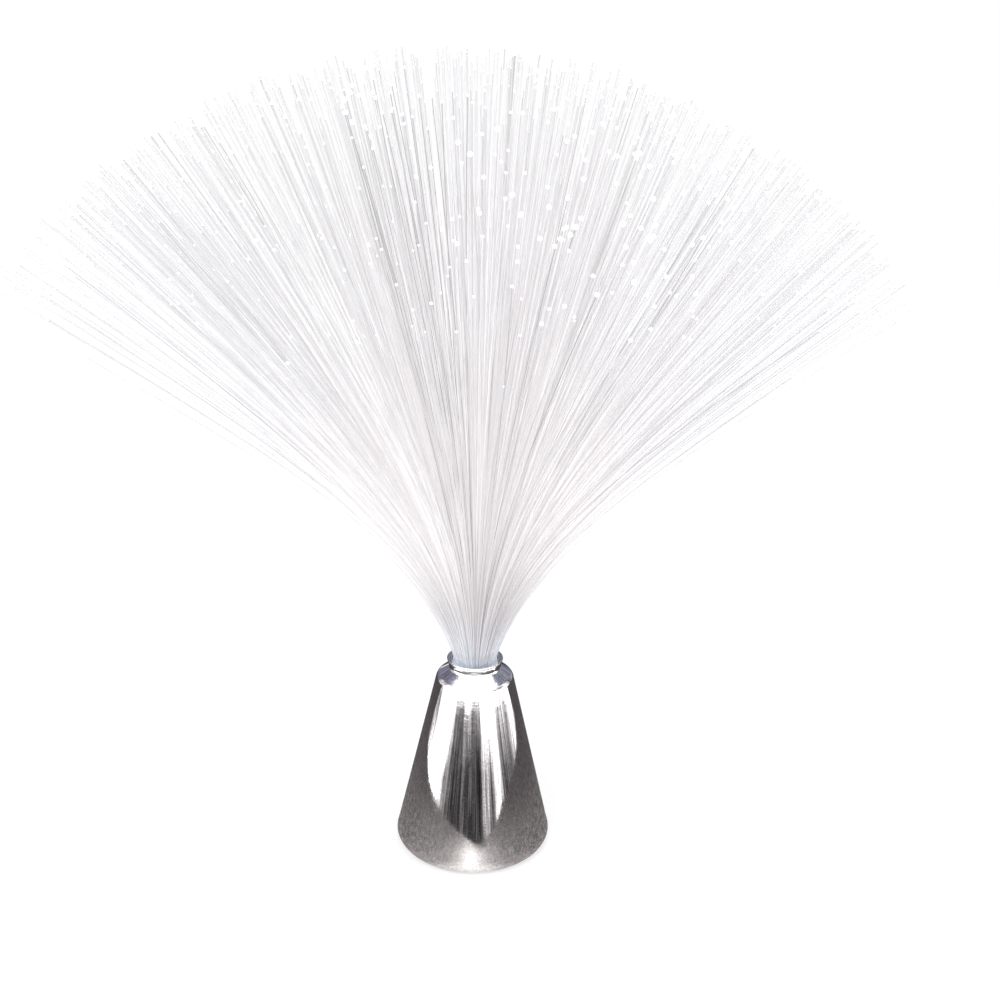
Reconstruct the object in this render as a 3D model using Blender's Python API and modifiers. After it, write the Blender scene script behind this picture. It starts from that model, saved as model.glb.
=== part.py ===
"""Battery fibre optic lamp: a chromed cone base with a spray of plastic fibres plugged into its neck.

Metres, +Z up. The origin is on the axis, at the level of the feet. Each object is one piece of the lamp.
The front of the lamp is at -Y. The switch is at +X and the battery door's hinge is at -Y.
"""

import math

import bmesh
import bpy
from mathutils import Matrix, Vector

MM = 0.001

# Fits and cuts
clearance = 0.3 * MM
overrun = 2.0 * MM
sink = 0.4 * MM
weld_distance = 0.01 * MM
round_sides = 20
small_sides = 12
ring_sides = 28

# Base shell
base_radius = 32.0 * MM
base_height = 81.2 * MM
wall = 1.6 * MM
edge_lift = 0.8 * MM
edge_fillet = 2.4 * MM
shoulder_radius = 15.9 * MM
shoulder_drop_share = 0.395
shoulder_rise = 8.8 * MM
shoulder_fillet = 4.0 * MM
shoulder_end = math.radians(58.0)
neck_radius = 10.3 * MM
neck_wall = 0.9 * MM
neck_fillet = 1.5 * MM
lip_radius = 11.4 * MM
lip_height = 0.7 * MM
lip_flare = 1.4 * MM
lip_chamfer = 0.3 * MM
collar_wall = 1.0 * MM
socket_stop_height = 0.7 * MM
socket_stop_width = 1.0 * MM
shell_steps = 48

# Bosses for the cap's screws, moulded inside the shell
boss_radius = 2.8 * MM
boss_height = 15.0 * MM
boss_rib = 1.2 * MM
boss_rib_height = 8.0 * MM
cap_screw_count = 3

# Bottom cap
cap_recess = 1.2 * MM
cap_thickness = 2.4 * MM
cap_edge = 0.4 * MM
case_wall = 1.2 * MM
cell_play = 0.4 * MM
ledge_height = 1.2 * MM
ledge_thickness = 1.2 * MM
roof_thickness = 1.4 * MM
roof_radius = 14.5 * MM
board_boss_radius = 2.3 * MM
board_boss_height = 2.4 * MM

# AAA cells
cell_radius = 5.25 * MM
cell_length = 44.5 * MM
cell_nub_radius = 1.9 * MM
cell_nub_height = 0.8 * MM
cell_edge = 0.5 * MM
cell_spacing = 11.1 * MM
cell_count = 3

# Contacts and springs
contact_thickness = 0.4 * MM
contact_radius = 4.2 * MM
contact_bump_radius = 1.6 * MM
contact_tail = 2.4 * MM
contact_strap = 2.2 * MM
strip_width = 2.4 * MM
spring_height = 3.0 * MM
spring_wire = 0.5 * MM
spring_foot_radius = 3.6 * MM
spring_top_radius = 2.2 * MM
spring_turns = 3
spring_points = 8

# Battery door
door_half_width = 14.2 * MM
door_corner = 5.0 * MM
door_thickness = 1.4 * MM
pin_radius = 0.7 * MM
pin_length = 2.2 * MM
barrel_half_length = 8.0 * MM
ear_width = 3.4 * MM
ear_rise = 1.0 * MM
edge_setback = 0.5 * MM
tongue_half_width = 4.0 * MM
tongue_thickness = 0.9 * MM
tongue_rise = 1.8 * MM
bead_radius = 0.3 * MM
bead_rise = 0.15 * MM
grip_rib_count = 3
grip_rib = 0.8 * MM
grip_rib_rise = 0.4 * MM
grip_rib_pitch = 1.8 * MM

# Slide switch
switch_gap = 3.0 * MM
switch_width = 5.8 * MM
switch_length = 9.0 * MM
switch_height = 4.2 * MM
switch_wall = 0.7 * MM
switch_travel = 3.0 * MM
ear_pitch = 13.4 * MM
ear_thickness = 0.5 * MM
ear_end_radius = 2.0 * MM
terminal_count = 3
terminal_pitch = 2.6 * MM
terminal_width = 1.0 * MM
terminal_thickness = 0.4 * MM
terminal_height = 2.4 * MM
knob_width = 2.6 * MM
knob_length = 2.6 * MM
knob_lift = 1.0 * MM
knob_groove = 0.3 * MM
knob_groove_pitch = 0.87 * MM
carriage_length = 3.4 * MM
carriage_height = 2.2 * MM

# Feet
foot_radius = 3.2 * MM
foot_inset = 8.0 * MM
foot_pocket = 0.8 * MM
foot_edge = 0.4 * MM
foot_count = 3

# Board, LED and cup
board_radius = 14.6 * MM
board_thickness = 1.6 * MM
board_screw_place = 11.6 * MM
led_radius = 2.5 * MM
led_flange_radius = 2.9 * MM
led_height_share = 0.386
led_flange_share = 0.12
led_lead_radius = 0.3 * MM
led_lead_pitch = 2.54 * MM
cup_height_share = 0.36
cup_wall = 0.9 * MM
cup_flange_radius = 14.2 * MM
cup_flange_height = 1.2 * MM
chip_radius = 2.6 * MM
chip_height = 1.1 * MM
chip_place = 5.0 * MM
resistor_radius = 0.75 * MM
resistor_waist = 0.55 * MM
resistor_length = 5.0 * MM
resistor_lead_radius = 0.3 * MM
resistor_lead_reach = 2.0 * MM
resistor_place = 5.0 * MM

# Screws: shaft radius, head radius, head height, length under the head
cap_screw_sizes = (1.1 * MM, 2.1 * MM, 1.1 * MM, 9.5 * MM)
board_screw_sizes = (0.9 * MM, 1.9 * MM, 1.2 * MM, 6.0 * MM)
switch_screw_sizes = (0.7 * MM, 1.4 * MM, 0.8 * MM, 2.0 * MM)
cross_width = 0.5 * MM

# Wires
lead_radius = 0.6 * MM
lead_samples = 18
lead_rise = 3.6 * MM
red_lead_angles = [math.radians(a) for a in (72.0, 62.0, 45.0, 14.0)]
white_lead_angles = [math.radians(a) for a in (-4.0, 12.0, 24.0, 33.0, 40.0)]

# Spray: ferrule, potted bundle and strands
ferrule_wall = 0.6 * MM
ferrule_drop = 0.6 * MM
slice_thickness = 1.0 * MM
slice_drop = 0.2 * MM
strand_radius = 0.27 * MM
strand_length = 230.0 * MM
rim_shortening = 14.0 * MM
ragged_length = 5.0 * MM
root_tilt = math.radians(16.0)
tip_tilt = math.radians(56.0)
bend_share = 0.28
more_bends_shares = (0.45, 0.75)
strand_rings = 10
strands_per_ring = 5.5
ring_turn = math.radians(137.5)
ragged_step = 0.618
root_bend_power = 1.5
path_steps = 48

# Levels, from the feet up
cap_bottom = edge_lift + cap_recess
cap_top = cap_bottom + cap_thickness
door_top = cap_bottom + door_thickness
door_contact_bottom = door_top + clearance
door_contact_top = door_contact_bottom + contact_thickness
door_spring_bottom = door_contact_top + clearance
cell_bottom = door_spring_bottom + spring_height + clearance
cell_top = cell_bottom + cell_length
top_contact_bottom = cell_top + clearance
top_contact_top = top_contact_bottom + contact_thickness
roof_bottom = top_contact_top + clearance
roof_top = roof_bottom + roof_thickness
ledge_bottom = cap_top + ledge_height
ledge_top = ledge_bottom + ledge_thickness
board_bottom = roof_top + board_boss_height + clearance
board_top = board_bottom + board_thickness
head_height = base_height - board_top
shoulder_height = base_height - shoulder_drop_share * head_height
neck_scale = (base_height - shoulder_height) / shoulder_rise
cup_bottom = board_top + clearance
cup_top = cup_bottom + cup_height_share * head_height
led_height = led_height_share * head_height
led_flange_height = led_flange_share * led_height
collar_bottom = cup_top + clearance
ferrule_bottom = collar_bottom + socket_stop_height + clearance
ferrule_top = base_height - ferrule_drop
slice_top = base_height - slice_drop
slice_bottom = slice_top - slice_thickness

# The side leans from the foot to the shoulder
side_bottom = edge_lift + edge_fillet
side_slope = math.atan((base_radius - shoulder_radius) / (shoulder_height - side_bottom))


def side_radius(height):
    """The outer radius of the straight side of the cone."""
    return base_radius - math.tan(side_slope) * (height - side_bottom)


# Radii
bore_radius = neck_radius - neck_wall
ferrule_radius = bore_radius - clearance
ferrule_bore = ferrule_radius - ferrule_wall
bundle_radius = ferrule_bore - clearance
cell_ring_radius = cell_spacing / math.sqrt(3.0)
case_bore = cell_radius + cell_play
case_radius = case_bore + case_wall
case_reach = cell_ring_radius + case_radius
case_middle_radius = cell_ring_radius / 2 + contact_strap / 2 + clearance
door_opening = door_half_width + clearance
skirt_half_width = door_opening + case_wall
switch_place = skirt_half_width + switch_gap + switch_width / 2
foot_ring_radius = base_radius - foot_inset
tail_place = cell_ring_radius + contact_radius - contact_thickness

# Screw bosses, their outer ends sunk in the middle of the wall
boss_bottom = cap_top + clearance
boss_ring_radius = side_radius(boss_bottom + boss_height) - wall / 2 - boss_radius
boss_rib_reach = side_radius(boss_bottom + boss_rib_height) - wall / 2 - boss_ring_radius

# Battery door hinge axis, along X
hinge_y = -(door_half_width + door_thickness)
hinge_z = door_top
barrel_radius = door_thickness
groove_radius = barrel_radius + clearance

cell_angles = [math.radians(90.0) + math.tau * i / cell_count for i in range(cell_count)]
cell_places = [Vector((cell_ring_radius * math.cos(a), cell_ring_radius * math.sin(a))) for a in cell_angles]
cap_screw_angles = [math.radians(90.0) + math.tau * i / cap_screw_count for i in range(cap_screw_count)]
foot_angles = [math.radians(30.0) + math.tau * i / foot_count for i in range(foot_count)]
strip_angle = cell_angles[2]


def on_ring(radius, angle):
    return Vector((radius * math.cos(angle), radius * math.sin(angle)))


# Scene, collections and materials


def clear_scene():
    for old in list(bpy.data.objects):
        bpy.data.objects.remove(old)


def new_collection(name):
    made = bpy.data.collections.new(name)
    bpy.context.scene.collection.children.link(made)
    return made


def new_material(name, colour, roughness, metallic=0.0, transmission=0.0):
    made = bpy.data.materials.new(name)
    made.use_nodes = True
    shader = made.node_tree.nodes["Principled BSDF"]
    shader.inputs["Base Color"].default_value = (*colour, 1.0)
    shader.inputs["Roughness"].default_value = roughness
    shader.inputs["Metallic"].default_value = metallic
    shader.inputs["Transmission Weight"].default_value = transmission
    made.diffuse_color = (*colour, 1.0)
    made.roughness = roughness
    made.metallic = metallic
    return made


clear_scene()
lamp = new_collection("fibre_optic_lamp")
helpers = new_collection("cutters")

chrome = new_material("chrome_plating", (0.80, 0.80, 0.82), 0.08, metallic=1.0)
clear_fibre = new_material("clear_fibre", (0.90, 0.91, 0.93), 0.15, transmission=0.6)
black_plastic = new_material("black_plastic", (0.03, 0.03, 0.032), 0.45)
white_plastic = new_material("white_plastic", (0.85, 0.85, 0.83), 0.35)
grey_plastic = new_material("grey_plastic", (0.35, 0.35, 0.36), 0.4)
green_board = new_material("green_board", (0.03, 0.20, 0.08), 0.4)
clear_resin = new_material("clear_resin", (0.92, 0.92, 0.92), 0.05, transmission=0.9)
nickel = new_material("nickel_plate", (0.70, 0.68, 0.64), 0.25, metallic=1.0)
zinc_screw = new_material("zinc_screw", (0.55, 0.55, 0.57), 0.3, metallic=1.0)
cell_jacket = new_material("cell_jacket", (0.08, 0.16, 0.35), 0.3)
chip_resin = new_material("chip_resin", (0.01, 0.01, 0.01), 0.25)
resistor_body = new_material("resistor_body", (0.62, 0.50, 0.33), 0.4)
red_wire = new_material("red_insulation", (0.55, 0.02, 0.02), 0.4)
white_wire = new_material("white_insulation", (0.80, 0.80, 0.78), 0.4)
rubber = new_material("rubber", (0.05, 0.05, 0.05), 0.8)


# Modelling tools


def link(name, data, material=None):
    """A new object in the lamp if it has a material, and among the cutters if it has none."""
    made = bpy.data.objects.new(name, data)
    if material:
        data.materials.append(material)
        lamp.objects.link(made)
    else:
        helpers.objects.link(made)
        made.hide_render = True
        made.display_type = "WIRE"
    return made


def mesh_from(bm, name):
    mesh = bpy.data.meshes.new(name)
    bm.to_mesh(mesh)
    bm.free()
    return mesh


def smooth(mesh):
    mesh.shade_smooth()
    mesh.set_sharp_from_angle(angle=math.radians(35.0))


def cylinder(name, radius, bottom, top, at=(0.0, 0.0), material=None, sides=round_sides):
    bm = bmesh.new()
    bmesh.ops.create_cone(
        bm, cap_ends=True, segments=sides, radius1=radius, radius2=radius, depth=top - bottom
    )
    mesh = mesh_from(bm, name)
    smooth(mesh)
    made = link(name, mesh, material)
    made.location = (at[0], at[1], (top + bottom) / 2)
    return made


def rod_along_x(name, radius, left, right, y, z, material=None, sides=small_sides):
    made = cylinder(name, radius, -(right - left) / 2, (right - left) / 2, (0.0, 0.0), material, sides)
    made.rotation_euler = (0.0, math.pi / 2, 0.0)
    made.location = ((left + right) / 2, y, z)
    return made


def block(name, low, high, material=None):
    low, high = Vector(low), Vector(high)
    bm = bmesh.new()
    bmesh.ops.create_cube(bm, size=1)
    bmesh.ops.scale(bm, vec=high - low, verts=bm.verts)
    made = link(name, mesh_from(bm, name), material)
    made.location = (low + high) / 2
    return made


def turned(name, profile, material=None, steps=round_sides, closed_loop=False):
    """A profile of (radius, height) points, down its outer side, turned about Z."""
    edges = [(i, i + 1) for i in range(len(profile) - 1)]
    if closed_loop:
        edges.append((len(profile) - 1, 0))
    mesh = bpy.data.meshes.new(name)
    mesh.from_pydata([(r, 0.0, z) for r, z in profile], edges, [])
    made = link(name, mesh, material)
    screw = made.modifiers.new("Turn", "SCREW")
    screw.steps = steps
    screw.render_steps = steps
    screw.use_merge_vertices = True
    screw.merge_threshold = weld_distance
    screw.use_smooth_shade = True
    return made


def arc(centre, radius, start, end, pieces):
    """Points round a centre, from one angle to another."""
    angles = [start + (end - start) * i / pieces for i in range(pieces + 1)]
    return [(centre[0] + radius * math.cos(a), centre[1] + radius * math.sin(a)) for a in angles]


def rounded_rectangle(half_x, half_y, corner, pieces=4):
    points = []
    for i, (sx, sy) in enumerate([(1, 1), (-1, 1), (-1, -1), (1, -1)]):
        centre = (sx * (half_x - corner), sy * (half_y - corner))
        points += arc(centre, corner, math.pi / 2 * i, math.pi / 2 * (i + 1), pieces)
    return points


def stadium(start, end, radius, pieces=8):
    """The outline of a bar with round ends about two points."""
    start, end = Vector(start), Vector(end)
    heading = math.atan2(end.y - start.y, end.x - start.x)
    quarter = math.pi / 2
    return arc(end, radius, heading - quarter, heading + quarter, pieces) + arc(
        start, radius, heading + quarter, heading + 3 * quarter, pieces
    )


def circle(centre, radius, sides=small_sides):
    return arc(centre, radius, 0.0, math.tau * (sides - 1) / sides, sides - 1)


def weld_curve(guide, name):
    """The curve's own solid as a closed mesh, and the curve removed."""
    bpy.context.view_layer.update()
    graph = bpy.context.evaluated_depsgraph_get()
    mesh = bpy.data.meshes.new_from_object(guide.evaluated_get(graph))
    mesh.name = name
    mesh.materials.clear()
    bpy.data.objects.remove(guide)
    bm = bmesh.new()
    bm.from_mesh(mesh)
    bmesh.ops.remove_doubles(bm, verts=bm.verts, dist=weld_distance)
    bmesh.ops.recalc_face_normals(bm, faces=bm.faces)
    bm.to_mesh(mesh)
    bm.free()
    return mesh


def extruded(name, outlines, bottom, top, material=None):
    """A flat outline, and any holes in it, given a thickness."""
    curve = bpy.data.curves.new(name, "CURVE")
    curve.dimensions = "2D"
    curve.fill_mode = "BOTH"
    curve.extrude = (top - bottom) / 2
    for outline in outlines:
        spline = curve.splines.new("POLY")
        spline.points.add(len(outline) - 1)
        spline.use_cyclic_u = True
        for point, (x, y) in zip(spline.points, outline):
            point.co = (x, y, 0.0, 1.0)
    mesh = weld_curve(link(name + "_outline", curve), name)
    smooth(mesh)
    made = link(name, mesh, material)
    made.location = (0.0, 0.0, (top + bottom) / 2)
    return made


def tube(name, points, radius, material=None, sides_step=1, radii=None):
    """A round tube through points, its ends closed."""
    curve = bpy.data.curves.new(name, "CURVE")
    curve.dimensions = "3D"
    curve.bevel_depth = radius
    curve.bevel_resolution = sides_step
    curve.use_fill_caps = True
    spline = curve.splines.new("POLY")
    spline.points.add(len(points) - 1)
    for i, place in enumerate(points):
        spline.points[i].co = (*place, 1.0)
        spline.points[i].radius = radii[i] / radius if radii else 1.0
    mesh = weld_curve(link(name + "_route", curve), name)
    mesh.shade_smooth()
    return link(name, mesh, material)


def smooth_route(corners, samples):
    """Points along a smooth curve through a route's corners."""
    ends = [2 * corners[0] - corners[1], *corners, 2 * corners[-1] - corners[-2]]
    points = []
    for k in range(samples + 1):
        along = min(k / samples * (len(corners) - 1), len(corners) - 1)
        i = min(int(along), len(corners) - 2)
        t = along - i
        a, b, c, d = ends[i : i + 4]
        points.append(
            (2 * b + (c - a) * t + (2 * a - 5 * b + 4 * c - d) * t**2 + (3 * b - a - 3 * c + d) * t**3) / 2
        )
    return points


def combine(piece, tool, operation):
    modifier = piece.modifiers.new(f"{operation.title()} {tool.name}", "BOOLEAN")
    modifier.operation = operation
    modifier.solver = "EXACT"
    modifier.object = tool


def add(piece, *tools):
    for tool in tools:
        combine(piece, tool, "UNION")


def cut(piece, *tools):
    for tool in tools:
        combine(piece, tool, "DIFFERENCE")


# Base shell


def neck_level(point):
    """A point above the shoulder, its rise fitted to the room under the rim."""
    radius, height = point
    return radius, shoulder_height + (height - shoulder_height) * neck_scale


def shell_profile():
    thin = wall / math.cos(side_slope)
    rim = shoulder_height + shoulder_rise
    fillet_centre = (base_radius - edge_fillet * math.cos(side_slope), side_bottom)
    bend_centre = (
        side_radius(shoulder_height) - shoulder_fillet * math.cos(side_slope),
        shoulder_height - shoulder_fillet * math.sin(side_slope),
    )
    shoulder = arc(bend_centre, shoulder_fillet, shoulder_end, side_slope, 4)
    neck_turn_radius = neck_radius + neck_fillet * (1 - math.cos(shoulder_end))
    climb = (shoulder[0][0] - neck_turn_radius) / math.tan(shoulder_end)
    turn_centre = (
        neck_radius + neck_fillet,
        shoulder[0][1] + climb + neck_fillet * math.sin(shoulder_end),
    )
    neck_turn = arc(turn_centre, neck_fillet, math.pi, math.pi + shoulder_end, 3)
    lip_low = rim - lip_height
    head = [
        (bore_radius + lip_chamfer, rim),
        (lip_radius - lip_chamfer, rim),
        (lip_radius, rim - lip_chamfer),
        (lip_radius, lip_low),
        (neck_radius, lip_low - lip_flare),
        *neck_turn,
        *shoulder,
    ]
    side = arc(fillet_centre, edge_fillet, side_slope, -math.pi / 2, 4)
    inner_shoulder = arc(bend_centre, shoulder_fillet - wall, side_slope, shoulder_end, 2)
    collar_radius = bore_radius + collar_wall
    collar_root = inner_shoulder[-1][1] + (inner_shoulder[-1][0] - collar_radius) / math.tan(shoulder_end)
    stop_top = collar_bottom + socket_stop_height
    inner = [
        (base_radius - thin, edge_lift),
        (base_radius - thin, side_bottom),
        *[neck_level(point) for point in inner_shoulder],
        neck_level((collar_radius, collar_root)),
        (collar_radius, collar_bottom),
        (bore_radius - socket_stop_width, collar_bottom),
        (bore_radius - socket_stop_width, stop_top),
        (bore_radius, stop_top),
        (bore_radius, base_height - lip_chamfer),
    ]
    return [neck_level(point) for point in head] + side + inner


def make_shell():
    shell = turned("base_shell", shell_profile(), chrome, shell_steps, closed_loop=True)
    shaft, _, _, length = cap_screw_sizes
    for i, angle in enumerate(cap_screw_angles):
        place = on_ring(boss_ring_radius, angle)
        boss = cylinder(
            f"shell_boss_{i}", boss_radius, boss_bottom, boss_bottom + boss_height, place, sides=small_sides
        )
        rib = block(
            f"shell_rib_{i}",
            (0.0, -boss_rib / 2, boss_bottom),
            (boss_rib_reach, boss_rib / 2, boss_bottom + boss_rib_height),
        )
        rib.matrix_world = (
            Matrix.Translation((place.x, place.y, 0.0))
            @ Matrix.Rotation(angle, 4, "Z")
            @ Matrix.Translation(rib.location)
        )
        hole = cylinder(
            f"shell_hole_{i}",
            shaft + clearance,
            boss_bottom - overrun,
            boss_bottom + length,
            place,
            sides=small_sides,
        )
        add(shell, boss, rib)
        cut(shell, hole)
    return shell


# Bottom cap with the battery case


def make_cap():
    cap_radius = base_radius - wall / math.cos(side_slope) - clearance
    cap = turned(
        "bottom_cap",
        [
            (0.0, cap_top),
            (cap_radius, cap_top),
            (cap_radius, cap_bottom + cap_edge),
            (cap_radius - cap_edge, cap_bottom),
            (0.0, cap_bottom),
        ],
        black_plastic,
        shell_steps,
    )
    add_battery_case(cap)
    cut_door_opening(cap)
    cut_screw_seats(cap)
    cut_foot_pockets(cap)
    fit_switch_seat(cap)
    return cap


def add_battery_case(cap):
    skirt = extruded(
        "case_skirt",
        [rounded_rectangle(skirt_half_width, skirt_half_width, door_corner + case_wall)],
        cap_top - sink,
        ledge_top,
    )
    add(cap, skirt)
    for i, place in enumerate(cell_places):
        add(cap, cylinder(f"case_lobe_{i}", case_radius, ledge_top - sink, roof_bottom + sink, place))
    add(cap, cylinder("case_roof", roof_radius, roof_bottom, roof_top, sides=ring_sides))
    shaft, _, _, _ = board_screw_sizes
    for side in (-1, 1):
        place = (side * board_screw_place, 0.0)
        boss = cylinder(
            f"board_boss_{side}",
            board_boss_radius,
            roof_top - sink,
            roof_top + board_boss_height,
            place,
            sides=small_sides,
        )
        hole = cylinder(
            f"board_boss_hole_{side}",
            shaft + clearance,
            roof_bottom + roof_thickness / 2,
            roof_top + board_boss_height + overrun,
            place,
            sides=small_sides,
        )
        add(cap, boss)
        cut(cap, hole)
    for i, place in enumerate(cell_places):
        cut(cap, cylinder(f"case_bore_{i}", case_bore, ledge_bottom - sink, roof_bottom, place))
    cut(cap, cylinder("case_middle", case_middle_radius, ledge_bottom - sink, roof_bottom, sides=small_sides))
    strip_gap = 2 * clearance + contact_thickness
    slot = block(
        "strip_slot",
        (case_reach, -(strip_width / 2 + clearance), ledge_bottom - overrun),
        (case_reach + strip_gap, strip_width / 2 + clearance, roof_top + overrun),
    )
    slot.matrix_world = Matrix.Rotation(strip_angle, 4, "Z") @ Matrix.Translation(slot.location)
    cut(cap, slot)
    top_tail = block(
        "positive_tail_slot",
        (-(contact_tail / 2 + clearance), tail_place - clearance, roof_bottom - sink),
        (contact_tail / 2 + clearance, tail_place + contact_thickness + clearance, roof_top + overrun),
    )
    cut(cap, top_tail)


def cut_door_opening(cap):
    opening = extruded(
        "door_opening",
        [rounded_rectangle(door_opening, door_opening, door_corner)],
        cap_bottom - overrun,
        ledge_bottom,
    )
    ears = block(
        "hinge_ears",
        (-(barrel_half_length + clearance + ear_width), hinge_y - groove_radius, cap_top - sink),
        (barrel_half_length + clearance + ear_width, -door_opening, cap_top + ear_rise),
    )
    groove = rod_along_x(
        "hinge_groove",
        groove_radius,
        -(barrel_half_length + clearance),
        barrel_half_length + clearance,
        hinge_y,
        hinge_z,
    )
    relief = block(
        "hinge_relief",
        (-(barrel_half_length + clearance), hinge_y - groove_radius, cap_bottom - overrun),
        (barrel_half_length + clearance, -door_opening + sink, hinge_z),
    )
    headroom = block(
        "hinge_headroom",
        (-(barrel_half_length + clearance), hinge_y - groove_radius - sink, hinge_z),
        (barrel_half_length + clearance, -door_opening + sink, cap_top + ear_rise + overrun),
    )
    reach = barrel_half_length + pin_length + 2 * clearance
    pin_hole = rod_along_x("hinge_pin_hole", pin_radius + clearance, -reach, reach, hinge_y, hinge_z)
    nail_notch = cylinder(
        "nail_notch",
        tongue_half_width,
        cap_bottom - overrun,
        cap_bottom + cap_thickness / 2,
        (0.0, door_opening),
        sides=small_sides,
    )
    cut(cap, opening)
    add(cap, ears)
    cut(cap, groove, relief, headroom, pin_hole, nail_notch)


def cut_screw_seats(cap):
    shaft, head, head_height, _ = cap_screw_sizes
    for i, angle in enumerate(cap_screw_angles):
        place = on_ring(boss_ring_radius, angle)
        hole = cylinder(
            f"cap_screw_hole_{i}", shaft + clearance, cap_bottom, cap_top + overrun, place, sides=small_sides
        )
        seat = cylinder(
            f"cap_screw_seat_{i}",
            head + clearance,
            cap_bottom - overrun,
            cap_bottom + head_height + clearance,
            place,
            sides=small_sides,
        )
        cut(cap, seat, hole)


def cut_foot_pockets(cap):
    for i, angle in enumerate(foot_angles):
        place = on_ring(foot_ring_radius, angle)
        pocket = cylinder(
            f"foot_pocket_{i}",
            foot_radius + clearance,
            cap_bottom - overrun,
            cap_bottom + foot_pocket,
            place,
        )
        cut(cap, pocket)


def fit_switch_seat(cap):
    half_slot = (switch_travel + knob_length) / 2 + clearance
    slot = block(
        "knob_slot",
        (switch_place - knob_width / 2 - clearance, -half_slot, cap_bottom - overrun),
        (switch_place + knob_width / 2 + clearance, half_slot, cap_top + overrun),
    )
    cut(cap, slot)
    shaft, _, _, length = switch_screw_sizes
    hole_bottom = cap_top + 2 * clearance + ear_thickness - length - clearance
    for side in (-1, 1):
        hole = cylinder(
            f"switch_screw_hole_{side}",
            shaft + clearance,
            hole_bottom,
            cap_top + overrun,
            (switch_place, side * ear_pitch / 2),
            sides=small_sides,
        )
        cut(cap, hole)


# Battery door


def make_door():
    outline = rounded_rectangle(
        door_half_width, door_half_width - edge_setback / 2, door_corner - clearance
    )
    door = extruded(
        "battery_door",
        [[(x, y + edge_setback / 2) for x, y in outline]],
        cap_bottom,
        door_top,
        black_plastic,
    )
    barrel = rod_along_x(
        "door_barrel", barrel_radius, -barrel_half_length, barrel_half_length, hinge_y, hinge_z
    )
    web = block(
        "door_web",
        (-barrel_half_length, hinge_y, cap_bottom),
        (barrel_half_length, edge_setback + sink - door_half_width, door_top),
    )
    reach = barrel_half_length + pin_length
    pins = rod_along_x("door_pins", pin_radius, -reach, reach, hinge_y, hinge_z)
    tongue = block(
        "door_tongue",
        (-tongue_half_width, door_half_width - tongue_thickness, door_top - sink),
        (tongue_half_width, door_half_width, door_top + tongue_rise),
    )
    snap_bead = rod_along_x(
        "door_bead",
        bead_radius,
        -(tongue_half_width - bead_rise),
        tongue_half_width - bead_rise,
        door_half_width + bead_rise - bead_radius,
        door_top + tongue_rise / 2,
    )
    add(door, web, barrel, pins, tongue, snap_bead)
    for i in range(grip_rib_count):
        y = door_half_width - (i + 2) * grip_rib_pitch
        grip = block(
            f"door_grip_{i}",
            (-tongue_half_width, y, cap_bottom - grip_rib_rise),
            (tongue_half_width, y + grip_rib, cap_bottom + sink),
        )
        add(door, grip)
    return door


# Battery cells, contacts and springs


def make_cell(name, place, nub_up):
    body_top = cell_length - cell_nub_height
    cell = turned(
        name,
        [
            (0.0, cell_length),
            (cell_nub_radius, cell_length),
            (cell_nub_radius, body_top),
            (cell_radius - cell_edge, body_top),
            (cell_radius, body_top - cell_edge),
            (cell_radius, cell_edge),
            (cell_radius - cell_edge, 0.0),
            (0.0, 0.0),
        ],
        cell_jacket,
        round_sides,
    )
    cell.location = (place.x, place.y, cell_bottom)
    if not nub_up:
        cell.location.z = door_contact_top + 2 * clearance + contact_thickness + cell_length
        cell.rotation_euler = (math.pi, 0.0, 0.0)
    return cell


def link_plate(name, start, end, bottom, top):
    """Two round contacts joined by a strap."""
    plate = extruded(name, [circle(start, contact_radius, round_sides)], bottom, top, nickel)
    other = extruded(name + "_far", [circle(end, contact_radius, round_sides)], bottom, top)
    strap = extruded(name + "_strap", [stadium(start, end, contact_strap / 2)], bottom, top)
    add(plate, other, strap)
    return plate


def make_contacts():
    first, second, third = cell_places
    door_link = link_plate("door_contact_link", first, second, door_contact_bottom, door_contact_top)
    add(
        door_link,
        cylinder(
            "door_link_bump",
            contact_bump_radius,
            door_contact_top - contact_thickness / 2,
            door_contact_top + contact_thickness + clearance,
            second,
            sides=small_sides,
        ),
    )
    door_end = extruded(
        "door_contact_end",
        [circle(third, contact_radius, round_sides)],
        door_contact_bottom,
        door_contact_top,
        nickel,
    )
    tab = block(
        "door_end_tab",
        (cell_ring_radius, -strip_width / 2, door_contact_bottom),
        (case_reach + clearance + contact_thickness, strip_width / 2, door_contact_top),
    )
    tab.matrix_world = Matrix.Rotation(strip_angle, 4, "Z") @ Matrix.Translation(tab.location)
    add(door_end, tab)
    link_plate("top_contact_link", second, third, top_contact_bottom, top_contact_top)
    positive = extruded(
        "top_contact_positive",
        [circle(first, contact_radius, round_sides)],
        top_contact_bottom,
        top_contact_top,
        nickel,
    )
    tail = block(
        "top_positive_tail",
        (-contact_tail / 2, tail_place, top_contact_top - contact_thickness / 2),
        (contact_tail / 2, tail_place + contact_thickness, roof_top + clearance),
    )
    add(positive, tail)
    strip = block(
        "negative_strip",
        (case_reach + clearance, -strip_width / 2, door_contact_top + clearance),
        (case_reach + clearance + contact_thickness, strip_width / 2, board_bottom - clearance),
        nickel,
    )
    strip.matrix_world = Matrix.Rotation(strip_angle, 4, "Z") @ Matrix.Translation(strip.location)


def spring_path(place, bottom, top):
    """A conical coil's centre line, wide at the bottom."""
    low, high = bottom + spring_wire / 2, top - spring_wire / 2
    total = spring_turns * spring_points
    points = []
    for i in range(total + 1):
        share = i / total
        radius = spring_foot_radius + (spring_top_radius - spring_foot_radius) * share
        spot = on_ring(radius, math.tau * i / spring_points) + place
        points.append(Vector((spot.x, spot.y, low + (high - low) * share)))
    return points


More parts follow.
